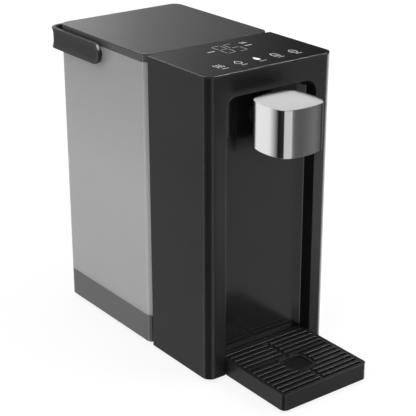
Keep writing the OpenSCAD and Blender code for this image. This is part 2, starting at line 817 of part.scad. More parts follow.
module pump_cover() color("#47474a") difference() {
    union() {
        rod_x(pump_x - pump_half - pump_cover_t, pump_x - pump_half, mid_y, pump_z, pump_r);
        rod_x(pump_x - pump_half - pump_cover_t - barb_l, pump_x - pump_half - 1, mid_y, pump_z, barb_r);
    }
    rod_x(pump_x - pump_half - pump_cover_t - barb_l - 1, pump_x - pump_half + 1,
        mid_y, pump_z, barb_bore);
}

module pump_impeller() color("#e4e2dc") translate([pump_x, mid_y, pump_z]) rotate([0, 90, 0])
    difference() {
        union() {
            translate([0, 0, 1]) cylinder(h = 1.5, r = impeller_r);
            translate([0, 0, -5]) cylinder(h = 7, r = 4);
            for (a = [0 : 60 : 300]) rotate([0, 0, a]) translate([3, -vane_t / 2, -5])
                cube([impeller_r - 4, vane_t, 6.5]);
        }
        translate([0, 0, -3.6]) cylinder(h = 8, r = shaft_r + pin_gap);
    }

module motor_case() color("#9a9a9c") difference() {
    rod_x(motor_x0, motor_x1, mid_y, pump_z, motor_r);
    rod_x(motor_x0 + 2, motor_x1 - 2.5, mid_y, pump_z, motor_r - 1.2);
    rod_x(motor_x0 - 1, motor_x1 - 1, mid_y, pump_z, shaft_r + pin_gap);
}

module motor_rotor() color("#7a4a2a") {
    rod_x(pump_x - 3.4, motor_x1 - 1.2, mid_y, pump_z, shaft_r);
    rod_x(motor_x0 + 5, motor_x1 - 8, mid_y, pump_z, motor_r - 3);
    rod_x(motor_x1 - 7, motor_x1 - 4, mid_y, pump_z, 4);
}

module motor_bracket() color("#2a2a2a") difference() {
    box(motor_x0 + 8, motor_x1 - 8, mid_y - motor_r - 2, mid_y + motor_r + 2, pan_top, pump_z);
    rod_x(motor_x0, motor_x1, mid_y, pump_z, motor_r + pin_gap);
}

module feed_hose() hose([[pump_x, mid_y, pump_z + pump_r + 0.2], [pump_x, mid_y, feed_z],
    [heater_x + cap_r + 0.2, mid_y, feed_z]]);

module heater_tube() color("#b9bbbd") difference() {
    rod_z(heater_x, mid_y, heater_z, heater_top, heater_r);
    rod_z(heater_x, mid_y, heater_z - 1, heater_top + 1, heater_r - heater_wall);
}

module heater_core() color("#e4e2dc") {
    rod_z(heater_x, mid_y, heater_z + 3, heater_top - 3, heater_r - heater_wall - 3.5);
    rod_z(heater_x, mid_y, heater_z - cap_h + cap_over + 2, heater_z + 4, core_pin_r);
}

module heater_bottom_cap() color("#3b3b3d") difference() {
    union() {
        rod_z(heater_x, mid_y, heater_z - cap_h + cap_over, heater_z + cap_over, cap_r);
        rod_x(heater_x + cap_r - 1, heater_x + cap_r + barb_l, mid_y, feed_z, barb_r);
    }
    rod_z(heater_x, mid_y, heater_z, heater_z + cap_over + 1, heater_r + pin_gap);
    rod_z(heater_x, mid_y, heater_z - 9, heater_z + 1, cap_room_r);
    rod_z(heater_x, mid_y, heater_z - cap_h + cap_over + 2, heater_z, core_pin_r + pin_gap);
    rod_x(heater_x + cap_room_r - 2, heater_x + cap_r + barb_l + 1, mid_y, feed_z, barb_bore);
}

module heater_top_cap() color("#3b3b3d") difference() {
    union() {
        rod_z(heater_x, mid_y, heater_top - cap_over, heater_top + cap_h - cap_over, cap_r);
        rod_z(heater_x, mid_y, heater_top, heater_top + cap_h - cap_over + barb_l, barb_r);
    }
    rod_z(heater_x, mid_y, heater_top - cap_over - 1, heater_top, heater_r + pin_gap);
    rod_z(heater_x, mid_y, heater_top - 1, heater_top + 8, cap_room_r);
    rod_z(heater_x, mid_y, heater_top, heater_top + cap_h - cap_over + barb_l + 1, barb_bore);
    rod_x(heater_x + cap_room_r - 2, heater_x + cap_r + 1, mid_y, sensor_z, sensor_r + pin_gap);
}

module heater_clips() color("#9a9a9c") for (z = clip_z) difference() {
    union() {
        rod_z(heater_x, mid_y, z - clip_h / 2, z + clip_h / 2, heater_r + clip_t);
        box(heater_x - 6, heater_x + 6, mid_y, body_back - cup_h, z - clip_h / 2, z + clip_h / 2);
    }
    rod_z(heater_x, mid_y, z - clip_h, z + clip_h, heater_r + pin_gap);
    rod_y(heater_x, body_back - cup_h - pilot_l, body_back - cup_h + 1, z, pilot_r);
}

module thermal_cutouts() color("#d8d6d0") for (s = [-1, 1])
    rod_y(heater_x, mid_y - heater_r - cutout_l, mid_y - heater_r - pin_gap,
        heater_mid + s * cutout_step, cutout_r);

module temperature_sensor() color("#b08d57") {
    rod_x(heater_x + 4, heater_x + cap_r + 1, mid_y, sensor_z, sensor_r);
    rod_x(heater_x + cap_r, heater_x + cap_r + 6, mid_y, sensor_z, sensor_r + 2);
}

module outlet_hose() hose([[heater_x, mid_y, heater_top + cap_h - cap_over + 0.2],
    [heater_x, mid_y, port_z], [heater_x, port_y, port_z], [-manifold_x - 0.2, port_y, port_z]]);

module power_board() color("#1e4d2f") difference() {
    box(power_x0, power_x1, power_front, power_back, power_z0, power_z1);
    translate([0, -1, 0]) at_board() cylinder(h = board_t + 2, r = screw_d / 2 + 0.3);
}

module heat_sink() color("#a7a9ac") difference() {
    box(sink_x0, sink_x0 + sink_w, power_front - sink_d, power_front, sink_z0, sink_z0 + sink_w);
    for (i = [0 : 3]) {
        x = sink_x0 + fin_t + i * fin_pitch;
        box(x, x + fin_gap, power_front - sink_d - 1, power_front - sink_base,
            sink_z0 - 1, sink_z0 + sink_w + 1);
    }
}

module board_transformer() color("#c9b458")
    box(coil_x1 - coil_w, coil_x1, power_front - coil_d, power_front, coil_z0, coil_z0 + coil_w);

module board_capacitors() color("#2f3f66") for (z = can_z)
    rod_y(can_x, power_front - can_l, power_front, z, can_r);

module ribbon_cable() color("#8a8c90") {
    box(ribbon_x - plug_half, ribbon_x + plug_half, ribbon_y - 3, power_front, plug_low, plug_top);
    box(ribbon_x - ribbon_half, ribbon_x + ribbon_half, ribbon_y - ribbon_t / 2, ribbon_y + ribbon_t / 2,
        plug_top - 1, board_z);
}

module mains_leads() color("#30343c") for (i = [0, 1]) {
    x0 = lead_step / 2 - lead_step * i;
    x1 = lead_x - lead_step * i;
    y = gland_back - 6 * (i + 1);
    bar([[x0, gland_back, gland_z], [x0, y, gland_z], [x1, y, gland_z], [x1, lead_y, gland_z],
        [x1, lead_y, lead_z], [x1, power_front, lead_z]], lead_r);
}

module heater_leads() color("#8f2f28") for (i = [0, 1]) {
    x = power_x0 + 10 + lead_step * i;
    z = heater_z + 15 - lead_step * i;
    bar([[x, power_front, lead_z], [x, lead_y, lead_z], [x, lead_y, z], [lead_turn, lead_y, z],
        [lead_turn, mid_y, z], [heater_x + heater_r + pin_gap, mid_y, z]], lead_r);
}

module level_sensor() color("#1e4d2f")
    box(float_x - sensor_half, float_x + sensor_half, cover_front - sensor_t, cover_front,
        sensor_low, sensor_low + sensor_h);

module water_tank() color("#9a9a9a", 0.55) difference() {
    union() {
        difference() {
            union() {
                slab(skirt_z, shoulder_top) tank_plan(0);
                slab(shoulder_top - 1, rim_top) tank_plan(rim_in);
            }
            slab(floor_top, shoulder_top - shoulder_t) tank_plan(tank_wall);
            slab(shoulder_top - shoulder_t - 1, rim_top + 1) tank_plan(rim_in + rim_t);
            slab(skirt_z - 1, dock_top) tank_plan(tank_wall);
            box(-half_w + tank_wall, half_w - tank_wall, tank_front - 1, tank_front + corner_r + 1,
                skirt_z - 1, dock_top);
        }
        intersection() {
            for (s = [-1, 1])
                rod_x(s * disc_mid - disc_half, s * disc_mid + disc_half, pivot_y, pivot_z, disc_r);
            slab(pivot_z - strap_w, shoulder_top) tank_plan(-10);
        }
        for (s = [-1, 1])
            rod_x(s * socket_mid - socket_half, s * socket_mid + socket_half, pivot_y, pivot_z, socket_out);
    }
    for (s = [-1, 1])
        rod_x(s * hole_mid - hole_half, s * hole_mid + hole_half, pivot_y, pivot_z, pivot_r + pin_gap);
    rod_z(0, valve_y, dock_top - 1, floor_top + 1, barrel_r + pin_gap);
    upright(tank_back - tank_wall - 1, tank_back + 1) {
        translate([-notch_r, 0]) square([2 * notch_r, gland_z]);
        translate([0, gland_z]) circle(notch_r);
    }
}

module tank_lid() color("#4c4c4e") {
    slab(rim_top, top_z) tank_plan(0);
    slab(lid_low, rim_top) difference() {
        tank_plan(0);
        tank_plan(lid_skirt);
    }
    slab(lip_low, rim_top) difference() {
        tank_plan(lip_in);
        tank_plan(lip_in + lip_t);
    }
}

module lid_seal() color("#d9d9d4") slab(lip_low + 1, rim_top) difference() {
    tank_plan(seal_in);
    tank_plan(lip_in - pin_gap);
}

module tank_handle() color("#303030") {
    intersection() {
        slab(pivot_z - strap_w / 2, pivot_z + strap_w / 2) difference() {
            plan(handle_x, pivot_y - strap_w, handle_back, 1, handle_r);
            plan(handle_x - strap_t, pivot_y - strap_w - 2, handle_back - strap_t,
                1, handle_r - strap_t);
        }
        union() {
            rod_x(-handle_x - 1, handle_x + 1, pivot_y, pivot_z, strap_w / 2);
            box(-handle_x - 1, handle_x + 1, pivot_y, handle_back + 1,
                pivot_z - strap_w, pivot_z + strap_w);
        }
    }
    for (s = [-1, 1])
        rod_x(s * stub_mid - stub_half, s * stub_mid + stub_half, pivot_y, pivot_z, pivot_r);
}

module valve_body() color("#e4e2dc") {
    difference() {
        union() {
            rod_z(0, valve_y, valve_low, valve_top, barrel_r);
            rod_z(0, valve_y, floor_top, floor_top + valve_flange_t, valve_flange_r);
        }
        rod_z(0, valve_y, seat_z, valve_top + 1, valve_bore);
        rod_z(0, valve_y, valve_low - 1, seat_z + 1, seat_bore);
        for (a = [45, 135]) translate([0, valve_y, floor_top + valve_flange_t + 0.6]) rotate([0, 0, a])
            translate([-barrel_r - 1, -window_w / 2, 0]) cube([2 * barrel_r + 2, window_w, window_h]);
    }
    difference() {
        box(-valve_bore - 0.5, valve_bore + 0.5, valve_y - 3.5, valve_y + 3.5,
            valve_top - bridge_t, valve_top);
        rod_z(0, valve_y, valve_top - bridge_t - 1, valve_top + 1, guide_r + run_gap);
    }
}

module valve_poppet() color("#8f2f28") {
    rod_z(0, valve_y, poppet_z, poppet_z + poppet_h, valve_bore - 0.7);
    rod_z(0, valve_y, stem_low, poppet_z + 1, float_stem);
    rod_z(0, valve_y, poppet_z + poppet_h - 1, valve_top + 1.5, guide_r);
}

// Compression spring wound as one tube of six sides, its coils from a formula
module valve_spring() color("#b8b8b8") translate([0, valve_y, 0]) {
    z0 = poppet_z + poppet_h + spring_wire + pin_gap;
    rise = valve_top - bridge_t - spring_wire - pin_gap - z0;
    rings = spring_turns * 16;
    points = [for (i = [0 : rings], j = [0 : 5]) let (
        t = 360 * spring_turns * i / rings,
        r = spring_r + spring_wire * cos(60 * j))
        [r * cos(t), r * sin(t), z0 + rise * i / rings + spring_wire * sin(60 * j)]];
    sides = [for (i = [0 : rings - 1], j = [0 : 5]) let (
        a = i * 6 + j,
        b = i * 6 + (j + 1) % 6) each [[a, a + 6, b], [b, a + 6, b + 6]]];
    ends = [for (j = [1 : 4]) each [[0, j, j + 1], [rings * 6, rings * 6 + j + 1, rings * 6 + j]]];
    polyhedron(points, concat(sides, ends));
}

module valve_strainer() color("#f0efe9") difference() {
    rod_z(0, valve_y, floor_top + valve_flange_t, strainer_top, strainer_r);
    rod_z(0, valve_y, floor_top, strainer_top - 1.6, strainer_r - 1.4);
    for (a = [0 : 30 : 150]) translate([0, valve_y, floor_top + valve_flange_t + 2]) rotate([0, 0, a])
        translate([-strainer_r - 1, -mesh_w / 2, 0])
            cube([2 * strainer_r + 2, mesh_w, strainer_top - floor_top - valve_flange_t - 5.6]);
}

module float_guide() color("#e4e2dc") {
    rod_z(float_x, float_y, floor_top, floor_top + guide_flange, float_r);
    rod_z(float_x, float_y, floor_top, guide_top, float_stem);
    rod_z(float_x, float_y, guide_top, guide_top + 2, guide_cap_r);
}

module level_float() color("#d9d9d4") difference() {
    rod_z(float_x, float_y, float_z, float_z + float_h, float_r);
    rod_z(float_x, float_y, float_z - 1, float_z + float_h + 1, float_stem + run_gap);
}

module drip_tray() color("#262626") {
    difference() {
        slab(base_z, tray_top) plan(tray_x, tray_front, tray_back, tray_r, 2);
        slab(grille_z, tray_top + 1)
            plan(tray_x - tray_wall, tray_front + tray_wall, tray_back - tray_wall, tray_r - tray_wall, 0.5);
        slab(base_z + tray_floor, grille_z + 1)
            plan(tray_x - tray_wall - ledge_w, tray_front + tray_wall + ledge_w,
                tray_back - tray_wall - ledge_w, 2, 2);
    }
    for (x = [-tray_x + 10, tray_x - 10], y = [tray_front + 12, front_y - 4])
        rod_z(x, y, 0, base_z + 1, pad_r);
    for (s = [-1, 1])
        box(s * lug_x - lug_w / 2, s * lug_x + lug_w / 2, tray_back - 1, panel_back + lug_out,
            lug_z, lug_z + lug_h);
}

module drip_grille() color("#262626") difference() {
    slab(grille_z, tray_top) difference() {
        plan(grille_x, grille_front, grille_back, tray_r - grille_in, 0.5);
        difference() {
            for (y = slot_y) translate([-grille_x + grille_border, y])
                square([2 * (grille_x - grille_border), slot_w]);
            translate([-web_w / 2, grille_front]) square([web_w, grille_back - grille_front]);
            hole_plan(hole_ring);
        }
        hole_plan(0);
    }
    slab(tray_top - groove_d, tray_top + 1) {
        translate([-web_w / 2, slot_y[0]]) square([web_w, slot_y[len(slot_y) - 1] + slot_w - slot_y[0]]);
        hole_plan(hole_ring);
    }
}

module hole_plan(grow) plan(hole_w / 2 + grow, hole_y - hole_d / 2 - grow, hole_y + hole_d / 2 + grow,
    5 + grow, 5 + grow);

outer_housing();
front_panel();
top_frame();
touch_panel();
touch_board();
touch_pads();
display_module();
base_pan();
rubber_feet();
rear_cover();
dock_cover();
casing_screws();
cord_gland();
spout_cover();
spout_underside();
outlet_nozzle();
outlet_manifold();
coupling_socket();
coupling_seal();
suction_hose();
flow_meter_body();
flow_meter_cap();
flow_meter_rotor();
meter_hose();
pump_housing();
pump_cover();
pump_impeller();
motor_case();
motor_rotor();
motor_bracket();
feed_hose();
heater_tube();
heater_core();
heater_bottom_cap();
heater_top_cap();
heater_clips();
thermal_cutouts();
temperature_sensor();
outlet_hose();
power_board();
heat_sink();
board_transformer();
board_capacitors();
ribbon_cable();
mains_leads();
heater_leads();
level_sensor();
water_tank();
tank_lid();
lid_seal();
tank_handle();
valve_body();
valve_poppet();
valve_spring();
valve_strainer();
level_float();
float_guide();
drip_tray();
drip_grille();
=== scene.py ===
# Instant hot water dispenser with a lift-off tank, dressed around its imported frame.
import json
from math import cos, pi, radians, sin, tan

import bmesh
import bpy
from mathutils import Matrix, Vector


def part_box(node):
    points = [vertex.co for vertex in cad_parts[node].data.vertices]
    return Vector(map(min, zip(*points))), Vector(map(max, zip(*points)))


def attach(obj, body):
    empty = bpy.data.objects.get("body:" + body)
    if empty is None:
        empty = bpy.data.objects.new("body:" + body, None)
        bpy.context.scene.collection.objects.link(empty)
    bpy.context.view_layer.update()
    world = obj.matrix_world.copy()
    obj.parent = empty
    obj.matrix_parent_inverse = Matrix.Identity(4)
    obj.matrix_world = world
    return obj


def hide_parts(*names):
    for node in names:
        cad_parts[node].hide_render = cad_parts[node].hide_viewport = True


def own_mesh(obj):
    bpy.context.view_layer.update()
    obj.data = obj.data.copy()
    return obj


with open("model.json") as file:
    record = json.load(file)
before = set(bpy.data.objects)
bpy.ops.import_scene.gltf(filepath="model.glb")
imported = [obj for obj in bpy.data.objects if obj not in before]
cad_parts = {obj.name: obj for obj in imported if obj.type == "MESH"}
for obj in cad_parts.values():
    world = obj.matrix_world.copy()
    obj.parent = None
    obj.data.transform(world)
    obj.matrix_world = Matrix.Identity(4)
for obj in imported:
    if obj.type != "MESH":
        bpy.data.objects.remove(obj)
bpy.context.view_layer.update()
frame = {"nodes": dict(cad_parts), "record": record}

nodes = frame["nodes"]
record = frame["record"]
bodyOf = {name: body for body, names in record["behaviour"]["bodies"].items() for name in names}
mm = 0.001
white = (1, 1, 1, 1)
scene = bpy.context.scene


# A node's lowest and highest corners in mm
def nodeBox(name):
    return [Vector(corner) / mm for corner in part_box(name)]


def linear(hexColor):
    parts = [int(hexColor[i:i + 2], 16) / 255 for i in (1, 3, 5)]
    return [c / 12.92 if c <= 0.04045 else ((c + 0.055) / 1.055) ** 2.4 for c in parts] + [1]


def grey(level):
    return [level] * 3 + [1]


# Inputs go by name or by number, and take a value or another node's socket
def addNode(tree, kind, inputs=None, **settings):
    node = tree.nodes.new(kind)
    for name, value in settings.items():
        setattr(node, name, value)
    for name, value in (inputs or {}).items():
        if isinstance(value, bpy.types.NodeSocket):
            tree.links.new(value, node.inputs[name])
        else:
            node.inputs[name].default_value = value
    return node


def addMath(tree, operation, first, second, clamp=False):
    inputs = {0: first, 1: second}
    return addNode(tree, "ShaderNodeMath", inputs, operation=operation, use_clamp=clamp).outputs[0]


def addRange(tree, value, start, end, low=0.0, high=1.0):
    inputs = {"Value": value, "From Min": start, "From Max": end, "To Min": low, "To Max": high}
    return addNode(tree, "ShaderNodeMapRange", inputs).outputs["Result"]


def addBlend(tree, share, first, second):
    inputs = {"Factor": share, 6: first, 7: second}
    return addNode(tree, "ShaderNodeMix", inputs, data_type="RGBA").outputs[2]


def addShaderBlend(tree, share, first, second):
    return addNode(tree, "ShaderNodeMixShader", {"Fac": share, 1: first, 2: second}).outputs[0]


def objectPlace(tree):
    return addNode(tree, "ShaderNodeTexCoord").outputs["Object"]


def splitAxes(tree, vector):
    return addNode(tree, "ShaderNodeSeparateXYZ", {"Vector": vector}).outputs


def addRamp(tree, share, stops):
    node = addNode(tree, "ShaderNodeValToRGB", {"Fac": share})
    ramp = node.color_ramp
    for place, level in stops[1:-1]:
        ramp.elements.new(place)
    for element, (place, level) in zip(ramp.elements, stops):
        element.position = place
        element.color = grey(level) if isinstance(level, (int, float)) else linear(level)
    return node.outputs["Color"]


def newMaterial(name):
    finish = bpy.data.materials.new(name)
    finish.use_nodes = True
    finish.node_tree.nodes.clear()
    return finish


def addObject(name, bm, finish):
    mesh = bpy.data.meshes.new(name)
    bm.to_mesh(mesh)
    bm.free()
    mesh.materials.append(finish)
    piece = bpy.data.objects.new(name, mesh)
    scene.collection.objects.link(piece)
    return piece


# The camera stands where the photograph's did: its place in metres, its turn in degrees, its lens in mm
cameraView = {"place": (-0.6257, -0.8261, 0.5405), "azimuth": -36.862, "elevation": 22.094,
              "roll": -0.131, "lens": 109.78, "sensor": 36}


def addCamera(view):
    az, el, roll = (radians(view[key]) for key in ("azimuth", "elevation", "roll"))
    back = Vector((sin(az) * cos(el), -cos(az) * cos(el), sin(el)))
    right = Vector((0, 0, 1)).cross(back).normalized()
    up = back.cross(right)
    turned = Matrix((cos(roll) * right + sin(roll) * up, cos(roll) * up - sin(roll) * right, back))
    data = bpy.data.cameras.new("camera")
    data.lens = view["lens"]
    data.sensor_width = view["sensor"]
    camera = bpy.data.objects.new("camera", data)
    camera.matrix_world = Matrix.Translation(view["place"]) @ turned.transposed().to_4x4()
    scene.collection.objects.link(camera)
    scene.camera = camera


addCamera(cameraView)
scene.view_settings.view_transform = "Standard"

# The room in reflections: grey levels round the horizon by azimuth, below it and above it
studio = {
    "roomLevel": 0.72,  # even light that dull surfaces get from the room
    "lowStops": [(-180, 0.0), (-98, 0.0), (-93, 0.07), (-60, 0.13), (-32, 0.24), (-14, 0.1), (-6, 0.0),
                 (8, 0.0), (14, 0.2), (50, 0.2), (62, 0.2), (87, 0.4), (146, 0.4), (154, 0.0), (180, 0.0)],
    "highStops": [(-180, 0.5), (-60, 0.3), (20, 0.03), (47, 0.05), (50, 0.1), (53, 0.22),
                  (56, 0.38), (60, 0.95), (110, 1.0), (180, 0.5)],
    "sidesBlend": 0.06,  # sine of the angle over which the low levels pass into the high ones
    "overheadFrom": 0.62,  # sine of the angle above which the overhead box shows
    "overheadBlend": 0.08,
    "overheadLevel": 1.0,
    "tableFrom": -0.8,  # sine of the angle below which the white table shows
    "tableBlend": 0.1,
    "floorSize": 8,  # metres
    "paper": 0.8,  # the floor's colour for light that bounces off it
    "shadow": 0.22,  # how far a shadow darkens the floor that the camera sees
    "glow": 0.84,  # the rest of that floor's white
}


def azimuthRamp(tree, turn, stops):
    return addRamp(tree, turn, [((azimuth + 180) / 360, level) for azimuth, level in stops])


def addWorld(settings):
    world = bpy.data.worlds.new("studio")
    scene.world = world
    world.use_nodes = True
    tree = world.node_tree
    tree.nodes.clear()
    split = splitAxes(tree, addNode(tree, "ShaderNodeTexCoord").outputs["Generated"])
    turn = addRange(tree, addMath(tree, "ARCTAN2", split["Y"], split["X"]), -pi, pi)
    low = azimuthRamp(tree, turn, settings["lowStops"])
    high = azimuthRamp(tree, turn, settings["highStops"])
    soft = settings["sidesBlend"]
    sides = addBlend(tree, addRange(tree, split["Z"], -soft, soft), low, high)
    start, soft = settings["overheadFrom"], settings["overheadBlend"]
    isOver = addRange(tree, split["Z"], start - soft, start + soft)
    gloss = addBlend(tree, isOver, sides, grey(settings["overheadLevel"]))
    start, soft = settings["tableFrom"], settings["tableBlend"]
    isUnder = addRange(tree, split["Z"], start + soft, start - soft)
    room = addBlend(tree, isUnder, gloss, white)
    path = addNode(tree, "ShaderNodeLightPath").outputs
    lit = addBlend(tree, path["Is Glossy Ray"], grey(settings["roomLevel"]), room)
    seen = addMath(tree, "ADD", path["Is Camera Ray"], path["Is Transmission Ray"], clamp=True)
    shown = addBlend(tree, seen, lit, white)
    background = addNode(tree, "ShaderNodeBackground", {"Color": shown})
    addNode(tree, "ShaderNodeOutputWorld", {"Surface": background.outputs[0]})


addWorld(studio)


# White paper that the camera sees as white, with a soft shadow, and that doesn't show in reflections
def addFloor(settings):
    finish = newMaterial("white paper sweep")
    tree = finish.node_tree
    path = addNode(tree, "ShaderNodeLightPath").outputs
    seen = addMath(tree, "ADD", path["Is Camera Ray"], path["Is Transmission Ray"])
    shown = addMath(tree, "ADD", seen, path["Is Glossy Ray"], clamp=True)
    plain = addNode(tree, "ShaderNodeBsdfDiffuse", {"Color": grey(settings["paper"])})
    shadow = addNode(tree, "ShaderNodeBsdfDiffuse", {"Color": grey(settings["shadow"])})
    glow = addNode(tree, "ShaderNodeEmission", {"Color": white, "Strength": settings["glow"]})
    lit = addNode(tree, "ShaderNodeAddShader", {0: shadow.outputs[0], 1: glow.outputs[0]})
    surface = addShaderBlend(tree, shown, plain.outputs[0], lit.outputs[0])
    addNode(tree, "ShaderNodeOutputMaterial", {"Surface": surface})
    bm = bmesh.new()
    bmesh.ops.create_grid(bm, x_segments=4, y_segments=4, size=settings["floorSize"] / 2)
    floor = addObject("floor", bm, finish)
    floor.visible_glossy = False
    floor.visible_shadow = False


addFloor(studio)

# Each card is a lamp: its middle as azimuth and elevation from the target, its angular width and
# height in degrees, and its level, where 1 is white. It is 1.6 m away unless it says otherwise.
# Without gloss it isn't seen in reflections, and without dull it is seen in nothing else
spoutLow, spoutHigh = nodeBox("spout_cover")
spoutMiddle = (spoutLow + spoutHigh) / 2 * mm
casingMiddle = Vector((0, 0, 130)) * mm
cards = [
    {"name": "room_key", "at": (-50, 32), "size": (34, 34), "level": 1.9, "gloss": False},
    {"name": "room_fill", "at": (195, 40), "size": (34, 34), "level": 0.9, "gloss": False},
    {"name": "rim_left", "at": (105, 50), "size": (50, 24), "level": 6, "dull": False, "lit": "rims"},
    {"name": "rim_front", "at": (-28, 62), "size": (70, 28), "level": 34, "dull": False, "lit": "rims"},
    {"name": "rim_handle", "at": (-34, 58), "size": (60, 30), "level": 12, "dull": False, "lit": "handle"},
    {"name": "rim_right", "at": (13, -22), "size": (72, 30), "level": 5, "dull": False, "lit": "casing",
     "distance": 0.9},
    {"name": "rim_tray", "at": (-34, 46), "size": (36, 28), "level": 14, "dull": False, "lit": "tray"},
    {"name": "line_left", "at": (164, -22), "size": (9, 50), "level": 2.4, "dull": False, "lit": "casing"},
    {"name": "line_front", "at": (261, -22), "size": (9, 50), "level": 2, "dull": False, "lit": "casing"},
    {"name": "front_card", "at": (307, -16), "size": (60, 20), "level": 0.35, "lit": "casing",
     "distance": 0.4},
    {"name": "panel_card", "at": (307, -22.8), "size": (60, 32), "level": 0.36, "lit": "panel",
     "distance": 0.4},
    {"name": "spout_stripe", "at": (240, -22), "size": (70, 60), "level": 0.88, "lit": "spout",
     "distance": 0.6},
]
groupOf = {"spout_cover": "spout", "front_panel": "panel"}  # every other node is in the casing's group
moreGroups = {"rims": ["touch_panel", "tank_lid"], "handle": ["tank_handle"],
              "tray": ["drip_tray", "drip_grille"]}
groups = ["casing", *groupOf.values(), *moreGroups]
litBy = {group: bpy.data.collections.new(group + "_pieces") for group in groups}


def addCard(card):
    az, el = (radians(angle) for angle in card["at"])
    away = Vector((cos(az) * cos(el), sin(az) * cos(el), sin(el)))
    target = spoutMiddle if card.get("lit") == "spout" else casingMiddle
    distance = card.get("distance", 1.6)
    data = bpy.data.lights.new(card["name"], "AREA")
    data.shape = "RECTANGLE"
    data.size, data.size_y = (2 * distance * tan(radians(angle / 2)) for angle in card["size"])
    data.energy = card["level"] * pi * data.size * data.size_y
    lamp = bpy.data.objects.new(card["name"], data)
    facing = away.to_track_quat("Z", "Y").to_matrix().to_4x4()
    lamp.matrix_world = Matrix.Translation(target + away * distance) @ facing
    lamp.visible_glossy = card.get("gloss", True)
    lamp.visible_diffuse = card.get("dull", True)
    lamp.visible_camera = False
    lamp.visible_transmission = False
    if "lit" in card:
        lamp.light_linking.receiver_collection = litBy[card["lit"]]
    scene.collection.objects.link(lamp)


for card in cards:
    addCard(card)


# A studio board or flag, hidden from the camera and from the other kinds of ray named
def addScreen(name, faces, finish, unseen):
    bm = bmesh.new()
    for corners in faces:
        bm.faces.new([bm.verts.new(Vector(corner) * mm) for corner in corners])
    screen = addObject(name, bm, finish)
    for kind in unseen:
        setattr(screen, "visible_" + kind, False)
    return screen


# Black flags, seen in reflections and as shadows only: two behind the spout keep the niche's panel
# dark there, and one before the casing, above the spout, darkens its front. Each is upright, in mm:
# its two ends in plan, its lowest and its highest point. They fade in upwards between two heights
flags = {
    "color": "#050505",
    "fade": (193, 209),
    "planes": [((-26.5, -77), (-26.5, -66.6), 193, 243), ((-26.5, -72.6), (12, -72.6), 193, 243),
               ((-34, -87), (18, -87), 247.6, 259)],
}


def addFlags(settings):
    finish = newMaterial("black velvet")
    tree = finish.node_tree
    inputs = {"Base Color": linear(settings["color"]), "Roughness": 1}
    velvet = addNode(tree, "ShaderNodeBsdfPrincipled", inputs)
    clear = addNode(tree, "ShaderNodeBsdfTransparent")
    fadeFrom, fadeTo = settings["fade"]
    fade = addRange(tree, splitAxes(tree, objectPlace(tree))["Z"], fadeFrom * mm, fadeTo * mm)
    surface = addShaderBlend(tree, fade, clear.outputs[0], velvet.outputs[0])
    addNode(tree, "ShaderNodeOutputMaterial", {"Surface": surface})
    faces = [[(*start, low), (*end, low), (*end, high), (*start, high)]
             for start, end, low, high in settings["planes"]]
    addScreen("black_flag", faces, finish, ["camera", "diffuse", "transmission"])


addFlags(flags)

# White boards close to the spout and in the niche's corner, seen only in reflections, shining one
# way and fading along one axis, in mm
boards = [
    {"name": "niche_right_board", "level": 0.48, "fade": (5, 40), "axis": "Z", "lit": "panel",
     "corners": [(46.3, -66, 18), (46.3, -78, 18), (46.3, -78, 257), (46.3, -66, 257)]},
    {"name": "niche_line_board", "level": 0.9, "fade": (10, 30), "axis": "Z", "lit": "panel",
     "corners": [(46.1, -66, 18), (46.1, -67.3, 18), (46.1, -67.3, 257), (46.1, -66, 257)]},
    {"name": "spout_left_board", "level": 1.2, "fade": (-111.2, -102), "axis": "Y", "lit": "spout",
     "corners": [(-26.2, -121, 198), (-26.2, -70, 198), (-26.2, -70, 246), (-26.2, -121, 246)]},
    {"name": "spout_roof_board", "level": 0.9, "fade": (-120, -112), "axis": "Y", "lit": "spout",
     "corners": [(-30, -130, 247), (-30, -68, 247), (30, -68, 247), (30, -130, 247)]},
]


def addBoard(board):
    finish = newMaterial(board["name"].replace("_", " "))
    tree = finish.node_tree
    start, end = board["fade"]
    along = splitAxes(tree, objectPlace(tree))[board["axis"]]
    fade = addRange(tree, along, start * mm, end * mm, high=board["level"])
    glow = addNode(tree, "ShaderNodeEmission", {"Strength": fade})
    clear = addNode(tree, "ShaderNodeBsdfTransparent")
    isBack = addNode(tree, "ShaderNodeNewGeometry").outputs["Backfacing"]
    surface = addShaderBlend(tree, isBack, glow.outputs[0], clear.outputs[0])
    addNode(tree, "ShaderNodeOutputMaterial", {"Surface": surface})
    unseen = ["camera", "diffuse", "transmission", "shadow"]
    screen = addScreen(board["name"], [board["corners"]], finish, unseen)
    screen.light_linking.receiver_collection = litBy[board["lit"]]


for board in boards:
    addBoard(board)
print("stage: camera, world, floor, lamps, flags and boards")


# What the finishes share
grain = {"detail": 3.0, "from": 0.3, "to": 0.7}  # fine noise that roughness and relief follow
clouds = {"detail": 4.0, "sizeMm": 40, "from": 0.35, "to": 0.65}  # large noise between colour and shade
rim = {"upright": 0.1, "flat": 0.3, "duller": 0.3}  # ground rim, by how far a face looks up; partly a painted highlight


def paint(tree, shader, share, stops):
    tree.links.new(addRamp(tree, share, stops), shader["Base Color"])


def addNoise(tree, place, sizeMm, detail):
    inputs = {"Vector": place, "Scale": 1 / mm / sizeMm, "Detail": detail}
    return addNode(tree, "ShaderNodeTexNoise", inputs).outputs["Fac"]


def addRelief(tree, shader, height, depthMm):
    inputs = {"Height": height, "Strength": 1.0, "Distance": depthMm * mm}
    if shader["Normal"].is_linked:
        inputs["Normal"] = shader["Normal"].links[0].from_socket
    bump = addNode(tree, "ShaderNodeBump", inputs)
    tree.links.new(bump.outputs["Normal"], shader["Normal"])
